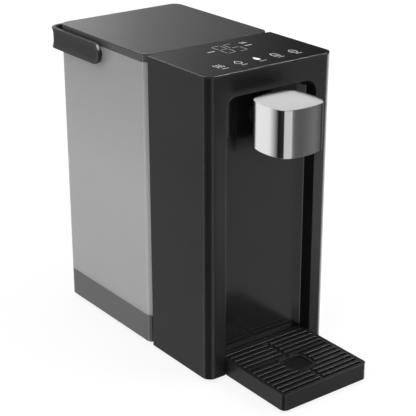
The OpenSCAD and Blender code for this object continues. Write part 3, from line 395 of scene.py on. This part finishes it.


# Threads, wires or cores along axes, or cells, that repeat at a real pitch, in colour and in relief.
# The low colour fills the grooves: a painted shade between the rotor's windings, the ribbon's cores
# and the mesh's threads and in the open foam's cells; for the other finishes the thing's own colour
def addRidges(tree, shader, ridges, color):
    place = objectPlace(tree)
    pitch = ridges["pitchMm"] * mm
    if "cells" in ridges:
        inputs = {"Vector": place, "Scale": 1 / pitch}
        height = addNode(tree, "ShaderNodeTexVoronoi", inputs, feature=ridges["cells"]).outputs["Distance"]
    else:
        inputs = {"Vector": place, "Scale": pi / 10 / pitch}
        waves = [addNode(tree, "ShaderNodeTexWave", inputs, bands_direction=axis).outputs["Fac"]
                 for axis in ridges["axes"]]
        height = waves[0] if len(waves) == 1 else addMath(tree, "MAXIMUM", *waves)
    paint(tree, shader, height, [(ridges.get("from", 0.2), ridges["low"]), (ridges.get("to", 0.6), color)])
    addRelief(tree, shader, height, ridges["depthMm"])


# Options: colour and shade as clouds, painted light and shade by height as (z in mm, colour),
# the colour of a ground edge, partly a painted highlight, the grain's size, relief and stretch,
# the lowest and highest roughness, ridges, and bare sockets
def addFinish(name, settings):
    finish = bpy.data.materials.new(name)
    finish.use_nodes = True
    tree = finish.node_tree
    shader = tree.nodes["Principled BSDF"].inputs
    for socket, value in settings.get("sockets", {}).items():
        shader[socket].default_value = value
    color = settings["color"]
    shader["Base Color"].default_value = linear(color)
    place = objectPlace(tree)
    # Painted light and shade by height: colours by z in mm that stand in for how light falls on and shows
    # through the piece
    if "paintedLightByHeight" in settings:
        low, high = settings["paintedLightByHeight"][0][0], settings["paintedLightByHeight"][-1][0]
        share = addRange(tree, splitAxes(tree, place)["Z"], low * mm, high * mm)
        paint(tree, shader, share, [((z - low) / (high - low), tint) for z, tint in settings["paintedLightByHeight"]])
    if "stretch" in settings:
        inputs = {"Vector": place, "Scale": settings["stretch"]}
        place = addNode(tree, "ShaderNodeMapping", inputs).outputs[0]
    fine = addNoise(tree, place, settings["grainMm"], grain["detail"])
    rough = addRange(tree, fine, grain["from"], grain["to"], *settings["roughness"])
    if "shade" in settings:
        cloud = addNoise(tree, place, settings.get("cloudMm", clouds["sizeMm"]), clouds["detail"])
        paint(tree, shader, cloud, [(clouds["from"], color), (clouds["to"], settings["shade"])])
    # A ground rim on faces that look sideways: greyer and duller, its grey partly the ground glass's own and
    # partly a painted highlight
    if "edge" in settings:
        up = splitAxes(tree, addNode(tree, "ShaderNodeNewGeometry").outputs["Normal"])["Z"]
        paint(tree, shader, up, [(rim["upright"], settings["edge"]), (rim["flat"], color)])
        matt = addRange(tree, up, rim["flat"], rim["upright"], 0, rim["duller"])
        rough = addMath(tree, "ADD", rough, matt)
    tree.links.new(rough, shader["Roughness"])
    if "reliefMm" in settings:
        addRelief(tree, shader, fine, settings["reliefMm"])
    if "ridges" in settings:
        addRidges(tree, shader, settings["ridges"], color)
    return finish


# A finish for each material in the record, named as there
finishTable = {
    # moulded ABS with a fine spark-eroded grain: a soft satin black that lightens at grazing angles
    "black_abs": {"color": "#161617", "shade": "#1a1a1a", "grainMm": 0.5, "reliefMm": 0.006,
                  "roughness": (0.30, 0.40), "sockets": {"IOR": 1.54}},
    # polished ABS panel: deeper black and a clearer reflection than the casing
    "black_panel": {"color": "#151516", "shade": "#191919", "grainMm": 0.8, "reliefMm": 0.002,
                    "roughness": (0.14, 0.20), "sockets": {"IOR": 1.54}},
    # unpainted ABS inside: a flatter, coarser grain with faint flow clouds
    "inner_abs": {"color": "#2b2b2b", "shade": "#313131", "cloudMm": 18, "grainMm": 0.6, "reliefMm": 0.01,
                  "roughness": (0.45, 0.6)},
    # toughened glass printed black on its underside: a dark mirror, with its ground rim matt and greyer;
    # that grey is partly the ground glass's own and partly a painted highlight for the light line on its
    # edge
    "touch_glass": {"color": "#070707", "edge": "#1f1f20", "grainMm": 12, "roughness": (0.05, 0.09),
                    "sockets": {"IOR": 1.52}},
    # fibreglass board under green solder resist: raised copper tracks show lighter, 2.4 mm apart
    "board_green": {"color": "#1e4d2f", "grainMm": 0.6, "reliefMm": 0.02, "roughness": (0.3, 0.45),
                    "ridges": {"axes": ("X",), "pitchMm": 2.4, "low": "#3b7a50", "to": 0.3,
                               "depthMm": 0.04}},
    # conductive foam: open cells with painted shade in their hollows, no shine
    "pad_foam": {"color": "#454545", "grainMm": 0.7, "roughness": (0.85, 0.95),
                 "ridges": {"cells": "F1", "pitchMm": 0.8, "low": "#262626", "to": 0.5, "depthMm": 0.2}},
    # smoked filter over the digits: near black, smooth, a little haze
    "display_black": {"color": "#161616", "shade": "#1a1a1b", "cloudMm": 6, "grainMm": 2,
                      "roughness": (0.15, 0.25)},
    # moulded rubber: dull, with a bloom that greys it in patches
    "black_rubber": {"color": "#1b1b1b", "shade": "#262626", "cloudMm": 6, "grainMm": 0.8, "reliefMm": 0.02,
                     "roughness": (0.7, 0.85)},
    # zinc plated steel: bright, with bluish clouds from the plating bath
    "screw_steel": {"color": "#bcbcba", "shade": "#a9b0b8", "cloudMm": 3, "grainMm": 0.4, "reliefMm": 0.004,
                    "roughness": (0.25, 0.4), "sockets": {"Metallic": 1}},
    # brushed stainless steel: fine upright lines that spread each reflection sideways
    "spout_steel": {"color": "#cfcfcf", "shade": "#c9c9c9", "grainMm": 0.3, "stretch": (1, 1, 0.02),
                    "roughness": (0.16, 0.22), "sockets": {"Metallic": 1}},
    # turned stainless steel: level tool lines every third of a millimetre
    "nozzle_steel": {"color": "#c8c8c8", "grainMm": 0.3, "reliefMm": 0.002, "roughness": (0.15, 0.25),
                     "sockets": {"Metallic": 1},
                     "ridges": {"axes": ("Z",), "pitchMm": 0.33, "low": "#b4b4b4", "depthMm": 0.01}},
    # satin black moulding under the spout
    "spout_plastic": {"color": "#2b2b2b", "shade": "#262626", "cloudMm": 12, "grainMm": 0.5,
                      "reliefMm": 0.008, "roughness": (0.4, 0.5)},
    # food-grade nylon: milky white, light sinks a little way in
    "white_nylon": {"color": "#e4e2dc", "shade": "#dddbd3", "grainMm": 0.8, "reliefMm": 0.01,
                    "roughness": (0.35, 0.5),
                    "sockets": {"Subsurface Weight": 0.1, "Subsurface Scale": 0.002}},
    # valve rubber: brick red, dull, even
    "red_silicone": {"color": "#8f2f28", "shade": "#84291f", "cloudMm": 5, "grainMm": 1, "reliefMm": 0.01,
                     "roughness": (0.5, 0.6)},
    # extruded silicone hose: cloudy, half clear, with a faint skin
    "clear_silicone": {"color": "#e6e6e0", "shade": "#dcdcd4", "cloudMm": 8, "grainMm": 2, "reliefMm": 0.01,
                       "roughness": (0.3, 0.4), "sockets": {"Transmission Weight": 0.6, "IOR": 1.41}},
    # dyed acetal rotor: slippery satin
    "meter_blue": {"color": "#3a6ea5", "shade": "#35669a", "cloudMm": 4, "grainMm": 0.8, "reliefMm": 0.01,
                   "roughness": (0.35, 0.45)},
    # glass-filled nylon: greyish black with fibre streaks at the surface
    "black_nylon": {"color": "#3b3b3d", "shade": "#303032", "cloudMm": 10, "grainMm": 0.5, "reliefMm": 0.015,
                    "stretch": (1, 1, 0.3), "roughness": (0.5, 0.62)},
    # pressed steel strip and can: long draw lines
    "motor_steel": {"color": "#9a9a9c", "shade": "#8f8f92", "cloudMm": 12, "grainMm": 0.5, "reliefMm": 0.004,
                    "stretch": (1, 0.1, 0.1), "roughness": (0.3, 0.42), "sockets": {"Metallic": 1}},
    # enamelled copper wire, wound 0.7 mm apart along the rotor, with painted shade between the turns
    "rotor_copper": {"color": "#b4653a", "grainMm": 0.5, "reliefMm": 0.01, "stretch": (0.2, 1, 1),
                     "roughness": (0.25, 0.4), "sockets": {"Metallic": 1},
                     "ridges": {"axes": ("Z",), "pitchMm": 0.7, "low": "#5e2f18", "to": 0.5,
                                "depthMm": 0.15}},
    # drawn stainless tube: upright hairlines and a straw tint where it runs hot
    "heater_steel": {"color": "#b9bbbd", "shade": "#b5ac98", "cloudMm": 45, "grainMm": 0.4,
                     "reliefMm": 0.001, "stretch": (1, 1, 0.05), "roughness": (0.3, 0.36),
                     "sockets": {"Metallic": 1}},
    # fired ceramic: matt off-white with a sandy speckle
    "white_ceramic": {"color": "#e9e7e1", "grainMm": 1, "roughness": (0.4, 0.6),
                      "ridges": {"cells": "F1", "pitchMm": 1.2, "low": "#d6d1c4", "to": 0.4,
                                 "depthMm": 0.02}},
    # turned brass: rings from the lathe along the probe
    "sensor_brass": {"color": "#c9a25f", "grainMm": 0.4, "reliefMm": 0.003, "roughness": (0.25, 0.35),
                     "sockets": {"Metallic": 1},
                     "ridges": {"axes": ("X",), "pitchMm": 0.4, "low": "#a8854a", "depthMm": 0.02}},
    # extruded aluminium: upright die lines, dull grey
    "sink_aluminium": {"color": "#a7a9ac", "shade": "#9b9da0", "cloudMm": 6, "grainMm": 0.4,
                       "reliefMm": 0.006, "stretch": (1, 1, 0.08), "roughness": (0.35, 0.5),
                       "sockets": {"Metallic": 1}},
    # polyester tape round the winding: one lap every 4 mm
    "transformer_yellow": {"color": "#c9b458", "grainMm": 1, "reliefMm": 0.02, "roughness": (0.35, 0.5),
                           "ridges": {"axes": ("Z",), "pitchMm": 4, "low": "#9c8a3c", "from": 0.0, "to": 0.2,
                                      "depthMm": 0.1}},
    # shrunk PVC sleeve: smooth dark blue with slight ripples
    "capacitor_blue": {"color": "#2f3f66", "shade": "#2a385c", "cloudMm": 5, "grainMm": 3, "reliefMm": 0.03,
                       "roughness": (0.3, 0.4)},
    # flat cable: round cores side by side, 1.27 mm apart, with painted shade in the valleys between them
    "ribbon_grey": {"color": "#8a8c90", "grainMm": 0.8, "reliefMm": 0.005, "roughness": (0.45, 0.55),
                    "ridges": {"axes": ("X",), "pitchMm": 1.27, "low": "#5f6165", "from": 0.0, "to": 0.4,
                               "depthMm": 0.3}},
    # silicone-coated wire in dark grey and in red: soft sheen
    "lead_grey": {"color": "#30343c", "shade": "#2a2e35", "cloudMm": 7, "grainMm": 1, "reliefMm": 0.01,
                  "roughness": (0.4, 0.5)},
    "lead_red": {"color": "#8f2f28", "shade": "#822a22", "cloudMm": 7, "grainMm": 1, "reliefMm": 0.01,
                 "roughness": (0.4, 0.5)},
    # white light through an unprinted window in the glass: the keys glow brighter than the digits
    "lit_ink": {"color": "#e8e8e6", "grainMm": 1, "roughness": (0.4, 0.5),
                "sockets": {"Emission Color": white, "Emission Strength": 0.35}},
    "dim_ink": {"color": "#9c9c9a", "grainMm": 1, "roughness": (0.4, 0.5),
                "sockets": {"Emission Color": white, "Emission Strength": 0.08}},
    # smoke-tinted clear plastic with a fine matt inside: grey light comes through, shapes behind blur.
    # The skirt below its floor is painted dark, a painted shade for the dock behind it, and painted
    # shade also darkens the tank towards its top
    "smoky_tank": {"color": "#d6d6d6", "grainMm": 0.6,
                   "paintedLightByHeight": [(29.4, "#7c7c7c"), (29.9, "#dadada"), (150, "#d8d8d8"), (262, "#c0c0c0")],
                   "roughness": (0.3, 0.36),
                   "sockets": {"Transmission Weight": 0.4, "IOR": 1.45, "Coat Weight": 0.6,
                               "Coat Roughness": 0.04}},
    # the same plastic, darker and polished; its upright skirt is painted lighter than its top, a painted
    # light
    "smoky_lid": {"color": "#4c4c4e", "grainMm": 0.8, "roughness": (0.1, 0.14),
                  "paintedLightByHeight": [(261, "#5e5e60"), (266.5, "#5e5e60"), (267.2, "#4c4c4e"), (268, "#4c4c4e")],
                  "sockets": {"Transmission Weight": 0.25, "IOR": 1.5}},
    # satin black moulding, smoother than the casing from being held
    "handle_plastic": {"color": "#1e1e1e", "shade": "#222222", "grainMm": 0.5, "reliefMm": 0.004,
                       "roughness": (0.3, 0.38), "sockets": {"IOR": 1.54}},
    # drawn stainless wire: bright, with lengthwise scratches
    "spring_steel": {"color": "#b8b8b8", "shade": "#adadad", "cloudMm": 2, "grainMm": 0.4,
                     "stretch": (1, 1, 0.3), "roughness": (0.2, 0.3), "sockets": {"Metallic": 1}},
    # woven polyester: threads 1 mm apart both ways, with painted shade, grey, in the gaps
    "white_mesh": {"color": "#f0efe9", "grainMm": 0.4, "reliefMm": 0.02, "roughness": (0.5, 0.6),
                   "ridges": {"axes": ("X", "Y"), "pitchMm": 1.0, "low": "#8f8e88", "to": 0.5,
                              "depthMm": 0.25}},
    # foamed polypropylene: small closed cells
    "float_plastic": {"color": "#d9d9d4", "grainMm": 1, "roughness": (0.35, 0.45),
                      "ridges": {"cells": "F1", "pitchMm": 1.5, "low": "#c4c4be", "to": 0.4,
                                 "depthMm": 0.05}},
    # the casing's plastic with a slightly coarser, duller grain
    "tray_plastic": {"color": "#191919", "shade": "#1d1d1d", "grainMm": 0.5, "reliefMm": 0.006,
                     "roughness": (0.32, 0.42), "sockets": {"IOR": 1.54}},
}
finishes = {name: addFinish(name, settings) for name, settings in finishTable.items()}

for name, node in nodes.items():
    for holder in node.material_slots:
        key = holder.material.name.split(".")[0]
        holder.material = finishes.get(key, holder.material)
    litBy[groupOf.get(name, "casing")].objects.link(node)
print("finishes:", len(finishes))


# Visible shells: the CAD shapes with their real edge radii
near = 0.1  # mm; an edge this close to a side of its node's box lies on that side
casingHalf = nodeBox("touch_panel")[1].x  # the casing's and the tank's, without the discs for the handle
tankRim = nodeBox("tank_lid")[0].z - 2  # the tank's edges above this are its rim
socketHole = {"y": 35, "radius": 18.5}  # mm; the dock's opening for the coupling
trayUnderside = 3  # mm; of the tray's part outside the casing
seam = 0.5  # mm; the housing's edges this close to its top lie under the glass and stay sharp
glassRim = 1  # mm; the glass's edges this close to its top are ground
nozzleLip = 0.5  # mm; the nozzle's edges this close to its mouth are rounded
weld = 1e-6  # metres; corners of the CAD mesh closer than this are one
facet = 0.6  # degrees; CAD facets that meet at less than this are one face
crease = 38  # degrees; faces that meet at more than this keep a sharp edge


def readNode(name):
    bm = bmesh.new()
    bm.from_mesh(nodes[name].data)
    bmesh.ops.remove_doubles(bm, verts=bm.verts, dist=weld)
    bmesh.ops.dissolve_limit(bm, angle_limit=radians(facet), verts=bm.verts, edges=bm.edges)
    return bm


# "where" gets an edge's middle in mm
def bevelEdges(bm, width, where, segments=2, sharp=30):
    edges = [edge for edge in bm.edges
             if len(edge.link_faces) == 2 and edge.calc_face_angle(0) > radians(sharp)
             and where((edge.verts[0].co + edge.verts[1].co) / 2 / mm)]
    bmesh.ops.bevel(bm, geom=edges, offset=width * mm, offset_type="OFFSET", segments=segments, profile=0.5,
                    affect="EDGES", material=-1, clamp_overlap=False)


def addPiece(name, bm, body, slot, finish=None, replaced=()):
    for face in bm.faces:
        face.smooth = True
    for edge in bm.edges:
        edge.smooth = edge.calc_face_angle(0) < radians(crease)
    piece = addObject(name, bm, finish or finishes[slot])
    base = name.removesuffix("_shell")
    litBy[groupOf.get(base, "casing")].objects.link(piece)
    for group, members in moreGroups.items():
        if base in members:
            litBy[group].objects.link(piece)
    weighted = piece.modifiers.new("even_faces", "WEIGHTED_NORMAL")
    weighted.keep_sharp = True
    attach(piece, body)
    if replaced:
        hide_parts(*replaced)
    return piece


def onTop(p, low, high):
    return p.z > high.z - near


def onBottom(p, low, high):
    return p.z < low.z + near


def onBack(p, low, high):
    return p.y > high.y - near


def inSocketHole(p):
    return abs(p.y - socketHole["y"]) <= socketHole["radius"]


def onWalls(p, low, high):
    return p.y < low.y + near or p.y > high.y - near or abs(p.x) > casingHalf - near


# Each shell: its material, the width of its bevels in mm and the edges that have them
shells = {
    "outer_housing": {"slot": "black_abs", "width": 0.4,
                      "where": lambda p, low, high: p.z < high.z - seam and onWalls(p, low, high)},
    "touch_panel": {"slot": "touch_glass", "width": 0.7, "lowerBy": 0.08,  # room for the ink
                    "where": lambda p, low, high: p.z > high.z - glassRim},
    "rear_cover": {"slot": "black_abs", "width": 0.3, "where": onBack},
    "dock_cover": {"slot": "black_abs", "width": 0.5,
                   "where": lambda p, low, high: onTop(p, low, high) and not inSocketHole(p)},
    "water_tank": {"slot": "smoky_tank", "width": 0.4,
                   "where": lambda p, low, high: onWalls(p, low, high) or p.z > tankRim},
    "tank_lid": {"slot": "smoky_lid", "width": 0.7,
                 "where": lambda p, low, high: onTop(p, low, high) or onBottom(p, low, high)},
    "drip_tray": {"slot": "tray_plastic", "width": 0.4,
                  "where": lambda p, low, high: onTop(p, low, high) or abs(p.z - trayUnderside) < near},
    "drip_grille": {"slot": "tray_plastic", "width": 0.25, "where": onTop},
    "outlet_nozzle": {"slot": "nozzle_steel", "width": 0.4,
                      "where": lambda p, low, high: p.z < low.z + nozzleLip},
    "spout_underside": {"slot": "spout_plastic", "width": 0.3, "where": onBottom},
}


def addShell(name, shell):
    low, high = nodeBox(name)
    bm = readNode(name)
    if "lowerBy" in shell:
        for vert in bm.verts:
            if vert.co.z > (high.z - glassRim) * mm:
                vert.co.z -= shell["lowerBy"] * mm
    bevelEdges(bm, shell["width"], lambda p: shell["where"](p, low, high))
    addPiece(name + "_shell", bm, bodyOf[name], shell["slot"], replaced=[name])


for name, shell in shells.items():
    addShell(name, shell)
print("shells:", len(shells))


# Spout cover, with a slightly domed roof cut into strips both ways so that it can bend
spout = {"topBevel": 0.35, "lowBevel": 0.5, "dome": 0.4, "cuts": 5}


def addSpout(sizes):
    bm = readNode("spout_cover")
    bevelEdges(bm, sizes["topBevel"], lambda p: p.z > spoutHigh.z - near / 2, segments=4)
    bevelEdges(bm, sizes["lowBevel"], lambda p: p.z < spoutLow.z + near / 2)
    roofFrom = spoutHigh.z - sizes["topBevel"]
    half = spoutHigh.x * mm
    for axis in (Vector((1, 0, 0)), Vector((0, 1, 0))):
        for cut in range(-sizes["cuts"], sizes["cuts"] + 1):
            place = spoutMiddle + axis * (cut * half / (sizes["cuts"] + 0.5))
            roof = [face for face in bm.faces if face.calc_center_median().z > roofFrom * mm]
            parts = dict.fromkeys(roof)  # each part once, in the faces' order
            parts.update(dict.fromkeys(edge for face in roof for edge in face.edges))
            parts.update(dict.fromkeys(vert for face in roof for vert in face.verts))
            bmesh.ops.bisect_plane(bm, geom=list(parts), plane_co=place, plane_no=axis, dist=weld / 10)
    for vert in bm.verts:
        if vert.co.z > (roofFrom - near / 10) * mm:
            reach = (vert.co.xy - spoutMiddle.xy).length / half
            vert.co.z -= sizes["dome"] * mm * reach ** 2
    addPiece("spout_cover_shell", bm, "base", "spout_steel", replaced=["spout_cover"])


addSpout(spout)


# Carrying handle: the strap's outer face is dished in rings, from its edge to its middle
handle = {"edge": 0.8, "dish": 1.5, "rings": [0.8, 0.9, 1.1, 1.3, 1.6], "bend": 12,
          "level": 0.2, "edgesFrom": (60, 147)}
handleLow, handleHigh = nodeBox("tank_handle")


def isOuter(face, sizes):
    middle = face.calc_center_median() / mm
    if abs(face.normal.z) > sizes["level"]:
        return False
    if abs(middle.x) > handleHigh.x - near:
        return True
    bendX, bendY = handleHigh.x - sizes["bend"], handleHigh.y - sizes["bend"]
    fromBend = Vector((max(abs(middle.x) - bendX, 0), middle.y - bendY))
    return middle.y > bendY and fromBend.length > sizes["bend"] - 2 * near


def addHandle(sizes):
    bm = readNode("tank_handle")
    outer = [face for face in bm.faces if isOuter(face, sizes)]
    half = (handleHigh.z - handleLow.z) / 2
    inset, deep = 0, 0
    for ring in sizes["rings"]:
        inset += ring
        depth = sizes["dish"] * (1 - ((half - inset) / half) ** 2)
        bmesh.ops.inset_region(bm, faces=outer, thickness=ring * mm, depth=(deep - depth) * mm,
                               use_boundary=True, use_even_offset=True)
        deep = depth
    fromX, fromY = sizes["edgesFrom"]
    bevelEdges(bm, sizes["edge"], lambda p: abs(p.x) > fromX or p.y > fromY)
    addPiece("tank_handle_shell", bm, "handle", "handle_plastic", replaced=["tank_handle"])


addHandle(handle)


def addSpring():
    coil = readNode("valve_spring")
    piece = addPiece("valve_spring_coil", coil, "tank", "spring_steel", replaced=["valve_spring"])
    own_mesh(piece)


addSpring()
print("spout, handle and spring")


# Printed marks on the glass, in mm: a row of key pictures with a bar under each. Their middle is
# a little below the panel's top in CAD, and above its shell's
marks = {"below": 0.06, "proud": 0.05, "line": 0.3, "row": -59.5, "pitch": 19, "size": 0.95,
         "pictureUp": 2, "barDown": 5, "bar": (-2.5, 4)}
marksHeight = nodeBox("touch_panel")[1].z - marks["below"]


def addMarks(name, strokes, halfWidth, finish):
    curve = bpy.data.curves.new(name, "CURVE")
    curve.dimensions = "3D"
    curve.bevel_depth = halfWidth * mm
    curve.bevel_resolution = 1
    curve.use_fill_caps = True
    for stroke in strokes:
        spline = curve.splines.new("POLY")
        spline.points.add(len(stroke) - 1)
        for point, (x, y) in zip(spline.points, stroke):
            point.co = (x * mm, y * mm, 0, 1)
    drawn = bpy.data.objects.new(name + "_line", curve)
    mesh = bpy.data.meshes.new_from_object(drawn)
    bpy.data.objects.remove(drawn)
    flatten = Matrix.Diagonal((1, 1, marks["proud"] / halfWidth, 1))
    mesh.transform(Matrix.Translation((0, 0, marksHeight * mm)) @ flatten)
    bm = bmesh.new()
    bm.from_mesh(mesh)
    bmesh.ops.remove_doubles(bm, verts=bm.verts, dist=weld)
    bmesh.ops.recalc_face_normals(bm, faces=bm.faces)
    addPiece(name, bm, "base", "white_nylon", finish)


def oval(rx, ry, steps=16):
    turns = [radians(360 * i / steps) for i in range(steps + 1)]
    return [(rx * cos(t), ry * sin(t)) for t in turns]


def steam(x, low, high, sway=0.7, steps=8):
    return [(x + sway * sin(2 * pi * i / steps), low + (high - low) * i / steps) for i in range(steps + 1)]


# An outline drawn again and again towards its middle, which fills it
def filled(outline, count):
    return [[(x * k / count, y * k / count) for x, y in outline] for k in range(1, count + 1)]


dropHalf = [(0, 5.4), (1.6, 3.2), (3.0, 0.8), (3.0, -1.2), (1.8, -3), (0, -3.6)]
drop = dropHalf + [(-x, y) for x, y in reversed(dropHalf[:-1])]
bottle = [(-2, 5), (-2, 3), (-3, 1.5), (-3, -4), (3, -4), (3, 1.5), (2, 3), (2, 5), (-2, 5)]
pictures = [
    [steam(x, -3.5, 5) for x in (-3, 0, 3)],
    [drop],
    filled([(x * 0.7, y) for x, y in drop], 5),
    [bottle, [(-2, -1.5), (2, -1.5)]],
    [oval(3.2, 4.8), [(-1.5, 0), (1.5, 0)]],
]


def keyStrokes(settings):
    strokes = []
    start, end = settings["bar"]
    for i, picture in enumerate(pictures):
        x = (i - 2) * settings["pitch"]
        y = settings["row"] + settings["pictureUp"]
        size = settings["size"]
        strokes += [[(px * size + x, py * size + y) for px, py in stroke] for stroke in picture]
        barY = settings["row"] - settings["barDown"]
        strokes.append([(x + start, barY), (x + end, barY)])
    return strokes


addMarks("key_icons", keyStrokes(marks), marks["line"], finishes["lit_ink"])

# The display shining through the glass: two digits of seven segments, each segment from end to
# end in shares of the digit's width and height, and four plain bars
display = {
    "width": 8.6, "height": 23, "line": 0.42, "gap": 0.9, "row": -30.2,
    "digits": [("abcdefg", -8.2), ("afgcd", 4)],
    "bars": [[(-20.5, -18.7), (-13, -18.7)], [(17.5, -19.6), (25, -19.6)],
             [(19.5, -9), (22, -13)], [(22.5, -9), (25, -13)]],
}
segments = {"a": ((0, 1), (1, 1)), "b": ((1, 1), (1, 0.5)), "c": ((1, 0.5), (1, 0)), "d": ((1, 0), (0, 0)),
            "e": ((0, 0), (0, 0.5)), "f": ((0, 0.5), (0, 1)), "g": ((0, 0.5), (1, 0.5))}


def digitStrokes(names, x, settings):
    strokes = []
    width, height, y = settings["width"], settings["height"], settings["row"]
    for name in names:
        (x0, y0), (x1, y1) = segments[name]
        dx, dy = (x1 - x0) * width, (y1 - y0) * height
        length = (dx * dx + dy * dy) ** 0.5
        ux, uy = dx / length * settings["gap"], dy / length * settings["gap"]
        px, py = x + x0 * width, y + y0 * height
        strokes.append([(px + ux, py + uy), (px + dx - ux, py + dy - uy)])
    return strokes


digits = [stroke for names, x in display["digits"] for stroke in digitStrokes(names, x, display)]
addMarks("display_digits", digits, display["line"], finishes["dim_ink"])
addMarks("display_bars", display["bars"], display["line"], finishes["lit_ink"])
print("marks")
